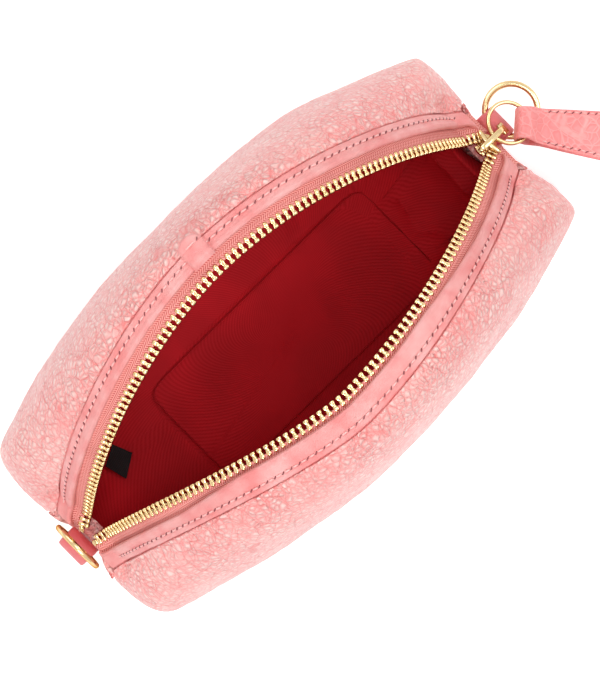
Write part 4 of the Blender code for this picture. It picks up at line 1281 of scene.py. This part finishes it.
@dataclass
class Hardware(SubAssembly):
    """Slider, crown, rings, their leather loops and the leather pull.

    The outlines of the slider, its crown and their parts are in millimetres of the slider's frame.
    """

    pull_tilt: float = math.radians(20)
    left_lean: float = math.radians(3)
    pull_hinge: Swing = Swing(
        (0.13029, -0.00541, 0.04999), (0.60402, -0.76604, -0.21985), (0.71985, 0.64279, -0.262), (0.34202, 0.0, 0.93969)
    )
    slider: Swing = Swing((0.11265, 0.0, 0.05329), (0.86603, 0.0, -0.5), (0.0, 1.0, 0.0), (0.5, 0.0, 0.86603))
    ring_hinges: tuple[Triple, Triple] = ((-0.12057, 0.0006, 0.04), (0.12196, 0.003, 0.04))
    pull_ring_hinge: Triple = (0.1178, 0, 0.05454)
    ring_radius: float = 10.8 * MM
    ring_wire: float = 1.3 * MM
    pull_ring_radius: float = 8.75 * MM
    pull_ring_wire: float = 0.85 * MM
    wire_room: float = 0.7 * MM
    tab_half: float = 7 * MM
    tab_leather: float = 1.5 * MM
    tab_leaf: float = 11.0 * MM
    tab_stitch: float = 7.6 * MM
    tab_stitch_half: float = 5.2 * MM
    pull_root: float = 13.8 * MM
    pull_tip: float = 26.5 * MM
    pull_length: float = 75 * MM
    pull_leather: float = 1.2 * MM
    pull_stitch: float = 1.5 * MM
    top_plate: tuple = ((-4.0, 0.8), (-2.0, 1.3), (1.0, 1.6), (5.0, 1.5), (8.9, 1.1))
    low_plate: tuple = ((-1.6, 3.4), (-0.6, 5.4), (0.8, 6.0), (3.4, 5.4), (5.4, 3.2), (6.4, 1.8))
    wedge: tuple = ((0.8, 0.3), (2.0, 0.6), (3.8, 0.3))
    bow_line: tuple = (
        (-7.2, 3.6), (-7.3, 5.2), (-6.6, 6.6), (-4.6, 7.3), (-1.0, 7.5), (4.8, 7.4), (7.4, 6.7), (8.4, 5.2), (8.4, 2.6)
    )
    foot: tuple[float, float] = (-7.2, 4.6)
    foot_stations: tuple = ((-2.5, 0.3), (-2.4, 0.75), (-2.1, 0.9), (2.1, 0.9), (2.4, 0.75), (2.5, 0.3))

    def build(self) -> None:
        """Dress the slider and make the rings and the leather pieces."""
        self.bottom_stop()
        self.slider_body()
        self.rings()
        self.crown()
        self.tabs()
        self.pull()

    def bottom_stop(self) -> None:
        """The clamp at the zip's end: a rounded block, drawn in a little at its middle."""
        model = bpy.data.objects["zip_bottom_stop"]
        spots = np.array([model.matrix_world @ corner.co for corner in model.data.vertices])
        axes = np.array([self.slider.away, self.slider.across, self.slider.out])
        places = (spots - np.array(self.slider.origin)) @ axes.T / MM
        (near, _, low), (far, wide, high) = places.min(axis=0), places.max(axis=0)
        cut, waist = 0.5, 0.25
        half = [(near, wide - cut), (near + cut, wide), ((near + far) / 2, wide - waist)]
        half += [(far - cut, wide), (far, wide - cut)]
        piece = Maker.piece("bottom_stop_clamp", self.plate(half, low, high, 0.6), self.finishes.brass)
        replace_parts(piece, "zip_bottom_stop")

    def slider_body(self) -> None:
        """The slider: a narrow top plate with wide shoulders, a full lower plate and the wedge between them."""
        plates = ((self.top_plate, 1.45, 2.7, 0.5), (self.low_plate, -2.7, -1.5, 0.35), (self.wedge, -1.6, 1.6, 0.05))
        parts = [self.plate(*plate) for plate in plates] + [self.shoulders()]
        piece = Maker.piece("slider_shell", Body.joined(parts), self.finishes.brass, "zip_slider")
        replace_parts(piece, "zip_slider_body")

    def shoulders(self) -> Body:
        """The slider's rolled wide end: a bowed bar whose ends turn down round the teeth."""
        share = np.linspace(-1, 1, 41)
        middle = np.column_stack([0.2 + 1.1 * share**2, 6.4 * share, 2.5 - 0.45 * np.abs(share) ** 8])
        angle = around(14)
        sections = []
        for spot, turn in zip(middle, share):
            girth = 1.15 * math.sqrt(max(1 - abs(turn) ** 10, 0.12))
            along, out = spot[0] + np.cos(angle) * girth, spot[2] + np.sin(angle) * girth * 0.8
            sections.append(self.slider.put(along * MM, np.full(len(angle), spot[1]) * MM, out * MM))
        return tube_body(sections)

    def plate(self, half: Sequence[tuple[float, float]], low: float, high: float, edge: float) -> Body:
        """A plate with rounded edges.

        Args:
            half: one half of its outline, from end to end.
            low: level of its underside.
            high: level of its top.
            edge: radius of its edges.

        Returns:
            The plate in the bag's frame.
        """
        loop = np.array([*half, *((x, -y) for x, y in reversed(half))])
        for _ in range(3):
            after = np.roll(loop, -1, axis=0)
            loop = np.stack([loop * 0.75 + after * 0.25, loop * 0.25 + after * 0.75], axis=1).reshape(-1, 2)
        steps = unit(np.roll(loop, -1, axis=0) - np.roll(loop, 1, axis=0))
        inward = np.column_stack([steps[:, 1], -steps[:, 0]])
        inward *= np.sign(((loop.mean(axis=0) - loop) * inward).sum())
        levels = [(1.0, low), (0.3, low + edge * 0.3), (0.0, low + edge)]
        levels += [(0.0, high - edge), (0.3, high - edge * 0.3), (1.0, high)]
        sections = []
        for pull, level in levels:
            spots = (loop + inward * edge * pull) * MM
            sections.append(self.slider.put(spots[:, 0], spots[:, 1], np.full(len(loop), level * MM)))
        return tube_body(sections)

    def rings(self) -> None:
        """Three rings of round wire."""
        level, right = np.array([0.0, 1.0, 0.0]), np.array([1.0, 0, 0])
        left = np.array([math.sin(self.left_lean), 0, math.cos(self.left_lean)])
        pull = np.array([math.cos(self.pull_tilt), 0, -math.sin(self.pull_tilt)])
        reach = self.ring_radius - self.sag(self.ring_radius, self.tab_half)
        big, small = (reach, self.ring_radius, self.ring_wire), (self.pull_ring_radius,) * 2 + (self.pull_ring_wire,)
        hinges = (*self.ring_hinges, self.pull_ring_hinge)
        names = ("left_ring", "right_ring", "pull_ring")
        for name, axis, away, (far, radius, wire) in zip(names, hinges, (left, right, pull), (big, big, small)):
            body = ring_body(np.array(axis) + away * far, radius, wire, away, level)
            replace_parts(Maker.piece(f"{name}_wire", body, self.finishes.brass, name), name)

    @staticmethod
    def sag(radius: float, half: float) -> float:
        """Half of what a ring's wire bows out over the width of a strip."""
        return (radius - math.sqrt(radius**2 - half**2)) / 2

    def crown(self) -> None:
        """The bow over the slider: a rounded bar with a small cross foot at its nose."""
        dense = calmed(resampled(np.array(self.bow_line), 81), 30)
        steps = unit(np.gradient(dense, axis=0))
        normals = np.column_stack([-steps[:, 1], steps[:, 0]])
        angle = around(20)
        wide, deep = boxed(np.cos(angle), 0.6) * 1.2, boxed(np.sin(angle), 0.7) * 0.8
        bow = []
        for spot, normal in zip(dense, normals):
            along, out = spot[0] + normal[0] * deep, spot[1] + normal[1] * deep
            bow.append(self.slider.put(along * MM, wide * MM, out * MM))
        foot = []
        for across, girth in self.foot_stations:
            along, out = self.foot[0] + np.cos(angle) * girth, self.foot[1] + np.sin(angle) * girth
            foot.append(self.slider.put(along * MM, np.full(len(angle), across) * MM, out * MM))
        body = Body.joined([tube_body(bow), tube_body(foot)])
        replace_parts(Maker.piece("slider_crown_bow", body, self.finishes.brass, "zip_slider"), "zip_slider_crown")

    def tabs(self) -> None:
        """Two leather loops that hold the strap rings, sewn to the end walls."""
        sewing = Seamstress(self.finishes, pitch=3.2 * MM)
        bore = self.sag(self.ring_radius, self.tab_half) + self.ring_wire + self.wire_room
        strip = LoopedStrip(bore, self.tab_leather, self.tab_leaf, leans=True)
        path = strip.path()
        widths = self.tab_half * (1 + 0.04 * np.cos(np.linspace(0, 2 * math.pi, len(path))))
        level = float(path[-1, 1]) + strip.leather / 2 + 0.05 * MM
        across = np.linspace(-1, 1, 15) * self.tab_stitch_half
        for end in End:
            swing = Swing(end.pick(self.ring_hinges), (0, 0, -1), (0, 1, 0), (end.value, 0, 0))
            body = strip.body(swing, widths, path, 0.12)
            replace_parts(Maker.piece(f"{end.word}_ring_loop", body, self.finishes.coral_smooth), f"{end.word}_ring_tab")
            row = swing.put(np.full(15, self.tab_stitch), across, np.full(15, level))
            sewing.row(f"{end.word}_loop_stitches", row, np.tile(np.array(swing.out), (15, 1)))

    def pull(self) -> None:
        """The long leather pull, folded round its ring and sewn along both edges."""
        sewing = Seamstress(self.finishes, pitch=3.3 * MM)
        leather = self.pull_leather
        bore = self.sag(self.pull_ring_radius, self.pull_root / 2) + self.pull_ring_wire + self.wire_room
        strip = LoopedStrip(bore, leather, self.pull_length - bore - leather)
        path = strip.path()
        body = strip.body(self.pull_hinge, self.pull_half(path[:, 0] / strip.leaf), path, 0.1)
        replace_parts(Maker.piece("zip_pull_leather", body, self.finishes.coral, "zip_pull"), "zip_pull")
        spots = np.linspace(6.5 * MM, strip.leaf * 0.93, 120)
        half = self.pull_half(spots / strip.leaf) - self.pull_stitch
        for face, word in ((1, "top"), (-1, "under")):
            level = np.full(len(spots), face * (strip.half() + leather / 2 + 0.06 * MM))
            ups = np.tile(np.array(self.pull_hinge.out) * face, (len(spots), 1))
            for side in Side:
                row = self.pull_hinge.put(spots, side.value * half, level)
                sewing.row(f"pull_{word}_{side.word}_stitches", row, ups, "zip_pull")

    def pull_half(self, shares: Grid) -> Grid:
        """Half width of the pull at shares of its length, with a round end."""
        held = np.clip(shares, 0, 1)
        widths = (self.pull_root + (self.pull_tip - self.pull_root) * held**0.8) / 2
        return widths * np.sqrt(np.clip(1 - np.clip((held - 0.82) / 0.19, 0, 1) ** 2, 0.02, 1))


@dataclass
class Lining(SubAssembly):
    """Twill lining of the walls and the floor, the stiffening board under it and a small bare label."""

    inset: float = 3.3 * MM
    cloth: float = 0.5 * MM
    fold: float = 1.1 * MM
    floor_level: float = 3.35 * MM
    floor_reach: float = 1.035
    label_corners: tuple = (((-79.6, 12.6), (-83.0, 21.0)), ((-89.0, 6.6), (-91.4, 16.4)))

    def build(self) -> None:
        """Make the lining."""
        for side in Side:
            self.wall(side, f"{side.word}_lining")
        for end in End:
            self.end_wall(end, f"{end.word}_lining")
        self.floor()
        self.floor_seam()
        self.label()
        repainted("base_board", self.finishes.board)

    def folds(self, grid: Grid, inward: Grid, seed: int, held: Grid) -> Grid:
        """Wrinkles that only push inwards from a surface, and fade where it is held."""
        flat = grid.reshape(-1, 3)
        bent = flat + np.column_stack([lattice_noise(flat, 30 * MM, seed + k) for k in (7, 8, 9)]) * 6 * MM
        broad = 1 - np.abs(lattice_noise(bent * np.array([0.8, 1, 0.45]), 26 * MM, seed))
        fine = 1 - np.abs(lattice_noise(bent * np.array([1, 1, 0.5]), 12 * MM, seed + 3))
        loose = 0.5 + 4.6 * eased((flat[:, 0] - 5 * MM) / (60 * MM))
        push = ((1.0 * broad**5 + 0.3 * fine**5) * loose).reshape(grid.shape[:2]) * self.fold
        return grid + inward * (push * held)[..., None]

    def hung(self, name: str, node: str, grid: Grid, inward: Grid, rests_on: list[str]) -> None:
        """Make one cloth of the lining and work out the width, length and area of its cut."""
        piece = Maker.piece(name, sheet_body(grid, grid + inward * self.cloth), self.finishes.twill)
        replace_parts(piece, node)
        along, up = np.diff(grid, axis=1), np.diff(grid, axis=0)
        width = np.linalg.norm(along, axis=2).sum(axis=1).max()
        length = np.linalg.norm(up, axis=2).sum(axis=0).max()
        area = np.linalg.norm(np.cross(along[:-1], up[:, :-1]), axis=2).sum()

    def wall(self, side: Side, node: str) -> None:
        """One side wall, hung from the tape."""
        across = np.linspace(0.004, 0.996, 281)
        grid = self.form.panel(side, across, np.linspace(0.004, 0.93, 121))
        inward = grid_normals(grid) * side.value
        held = eased(np.linspace(0, 1, 121) * 8)[:, None] * np.ones(281)
        grid = self.folds(grid + inward * self.inset, inward, 21 + side.value, held)
        line = ZipLine(self.form.mouth, side)
        top = [line.at(across, 8.6 * MM, -4.1 * MM), line.at(across, 5.4 * MM, -3.4 * MM)]
        grid = np.concatenate([grid, np.array(top)])
        self.hung(f"{node}_cloth", node, grid, grid_normals(grid) * side.value, [f"{side.word}_tape_cloth"])

    def end_wall(self, end: End, node: str) -> None:
        """One end wall, gathered loosely at its top, with its sides tucked behind the side walls."""
        shares = np.linspace(0.002, 0.93, 101)
        wide, narrow = (self.form.gusset(end, np.linspace(-reach, reach, 81), shares) for reach in (1.1, 0.97))
        rise = eased((shares - 0.25) / 0.45)[:, None, None]
        grid = wide * (1 - rise) + narrow * rise
        inward = grid_normals(grid) * -end.value
        held = np.ones((101, 81)) * eased(np.linspace(0, 1, 101) * 8)[:, None] * end.pick((0.4, 1.8))
        grid = self.folds(grid + inward * self.inset, inward, 31 + end.value, held)
        self.hung(f"{node}_cloth", node, grid, inward, ["back_lining_cloth", "front_lining_cloth"])

    def floor(self) -> None:
        """The floor of the lining, over the stiffening board."""
        loop = self.form.base_loop()
        low = []
        for r in np.linspace(0.001, self.floor_reach, 46):
            ring = np.column_stack([loop * r, np.full(len(loop), self.floor_level)])
            lift = (lattice_noise(ring, 21 * MM, 41) + 1) * 0.5 * MM * min(1, (self.floor_reach - r) * 8)
            ring[:, 2] += lift
            low.append(ring)
        piece = Maker.piece("base_lining_cloth", slab_body(np.array(low), self.cloth), self.finishes.twill)
        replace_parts(piece, "base_lining")
        rim = low[-1][:, :2]
        area = float(np.abs(np.cross(rim, np.roll(rim, -1, axis=0))).sum() / 2)

    def floor_seam(self) -> None:
        """The turned seam round the floor's bottom panel, a low ridge of the same twill in a darker red: the ridge is
        the seam's own, the darker red painted shade along its groove.
        """
        turn = around(240)
        x = (4 + 62 * boxed(np.cos(turn), 0.14)) * MM
        y = (0.5 + 25.5 * boxed(np.sin(turn), 0.14)) * MM
        middle = resampled(np.column_stack([x, y, np.full(240, 4.6 * MM)]), 240)
        steps = unit(np.roll(middle, -1, axis=0) - np.roll(middle, 1, axis=0))
        across = np.column_stack([-steps[:, 1], steps[:, 0], np.zeros(240)])
        sides = []
        for angle in around(8):
            rise = np.array([0, 0, math.sin(angle) * 0.6 * MM])
            sides.append(middle + across * math.cos(angle) * 0.38 * MM + rise)
        body = tube_body(np.array(sides).transpose(1, 0, 2), closed=True)
        # The ridge's darker red is painted shade along the seam's groove.
        Maker.piece("floor_seam_ridge", body, self.finishes.seam)

    def label(self) -> None:
        """A small bare label sewn to the left end wall, a little curled at its free corner."""
        corners = np.array(self.label_corners) * MM
        up, over = np.meshgrid(np.linspace(0, 1, 25), np.linspace(0, 1, 21), indexing="ij")
        flat = np.zeros((*up.shape, 2))
        for i, j in product((0, 1), repeat=2):
            share = np.where(i, up, 1 - up)[..., None], np.where(j, over, 1 - over)[..., None]
            flat = flat + corners[i, j] * share[0] * share[1]
        form = self.form
        slope = np.arcsin((np.abs(flat[..., 0]) - form.base_half_length) / (form.half_length - form.base_half_length))
        rise = form.end_bulge_height * (1 - np.cos(slope)) + 6.2 * MM + 0.9 * MM * (1 - up) ** 3 * (1 - 0.6 * over)
        grid = np.concatenate([flat, rise[..., None]], axis=-1)
        inward = grid_normals(grid)
        inward *= np.sign(inward[12, 10, 2])
        body = sheet_body(grid, grid + inward * self.cloth)
        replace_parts(Maker.piece("bare_label_cloth", body, self.finishes.label), "care_label")


@dataclass
class Studio:
    """Camera straight over the bag, soft lamps and a white sweep under it.

    A lamp is its name, place, size and power.
    """

    above: float = 1.443
    lens: float = 177.2
    centre: tuple[float, float] = (1.4 * MM, -5.4 * MM)
    right: tuple[float, float] = (0.7115, -0.7027)
    aim: Triple = (0, 0, 0.06)
    lamps: tuple = (
        ("key", (-0.9, -0.45, 1.0), 0.4, 9.2),
        ("back", (0.25, 0.95, 1.0), 0.8, 6.2),
        ("side", (0.95, -0.45, 1.0), 0.8, 7.4),
        ("top", (-0.1, 0.0, 1.9), 0.4, 5.7),
    )
    floor_half: float = 3.0
    floor_drop: float = 0.5 * MM
    surroundings: float = 0.3

    def build(self) -> None:
        """Set camera, lamps, floor and world."""
        camera = bpy.data.cameras.new("overhead")
        camera.lens, camera.sensor_width, camera.clip_end = self.lens, 36, 20
        obj = linked("overhead", camera)
        side, up = Vector((*self.right, 0)), Vector((-self.right[1], self.right[0], 0))
        turn = Matrix((side, up, side.cross(up))).transposed().to_4x4()
        obj.matrix_world = Matrix.Translation((*self.centre, self.above)) @ turn
        bpy.context.scene.camera = obj
        for lamp in self.lamps:
            self.lamp(*lamp)
        self.floor()
        self.world()
        bpy.context.scene.view_settings.view_transform = "Standard"

    def lamp(self, name: str, place: Triple, size: float, power: float) -> None:
        """One square soft lamp that faces the bag."""
        light = bpy.data.lights.new(name, "AREA")
        light.size, light.energy = size, power
        obj = linked(name, light)
        obj.location = place
        obj.rotation_euler = (Vector(self.aim) - Vector(place)).to_track_quat("-Z", "Y").to_euler()

    def floor(self) -> None:
        """A wide pale floor that keeps the bag's shadow."""
        mesh, half = bpy.data.meshes.new("floor"), self.floor_half
        mesh.from_pydata([(-half, -half, 0), (half, -half, 0), (half, half, 0), (-half, half, 0)], [], [(0, 1, 2, 3)])
        nodes = Nodes(bpy.data.materials.new("white_sweep"))
        nodes.set(Base_Color=(0.9, 0.9, 0.9, 1), Roughness=0.9, Emission_Color=(1, 1, 1, 1))
        away = nodes.add("VectorMath", {0: nodes.place()}, operation="LENGTH").outputs["Value"]
        nodes.join(nodes.times(nodes.seen(), nodes.spread(away, 0.35, 1.3, 0.5)), "Emission Strength")
        mesh.materials.append(nodes.owner)
        obj = linked("floor", mesh)
        obj.location.z = -self.floor_drop

    def world(self) -> None:
        """Even pale surroundings, white where the camera or a reflection sees them."""
        world = bpy.data.worlds.new("surroundings")
        bpy.context.scene.world = world
        nodes = Nodes(world, "Background")
        nodes.set(Color=(1, 1, 1, 1))
        strength = nodes.add("MapRange", {"Value": nodes.seen(), "To Min": self.surroundings})
        nodes.join(strength.outputs["Result"], "Strength")


def main() -> None:
    """Build the studio and every sub-assembly in order."""
    logging.basicConfig(level=logging.INFO, format="%(name)s: %(message)s")
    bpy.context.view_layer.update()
    finishes = Finishes()
    form = BagForm()
    Studio().build()
    for part in (LeatherShell, ZipBands, ZipChain, Hardware, Lining):
        part(form, finishes).build()


if __name__ == "__main__":
    main()
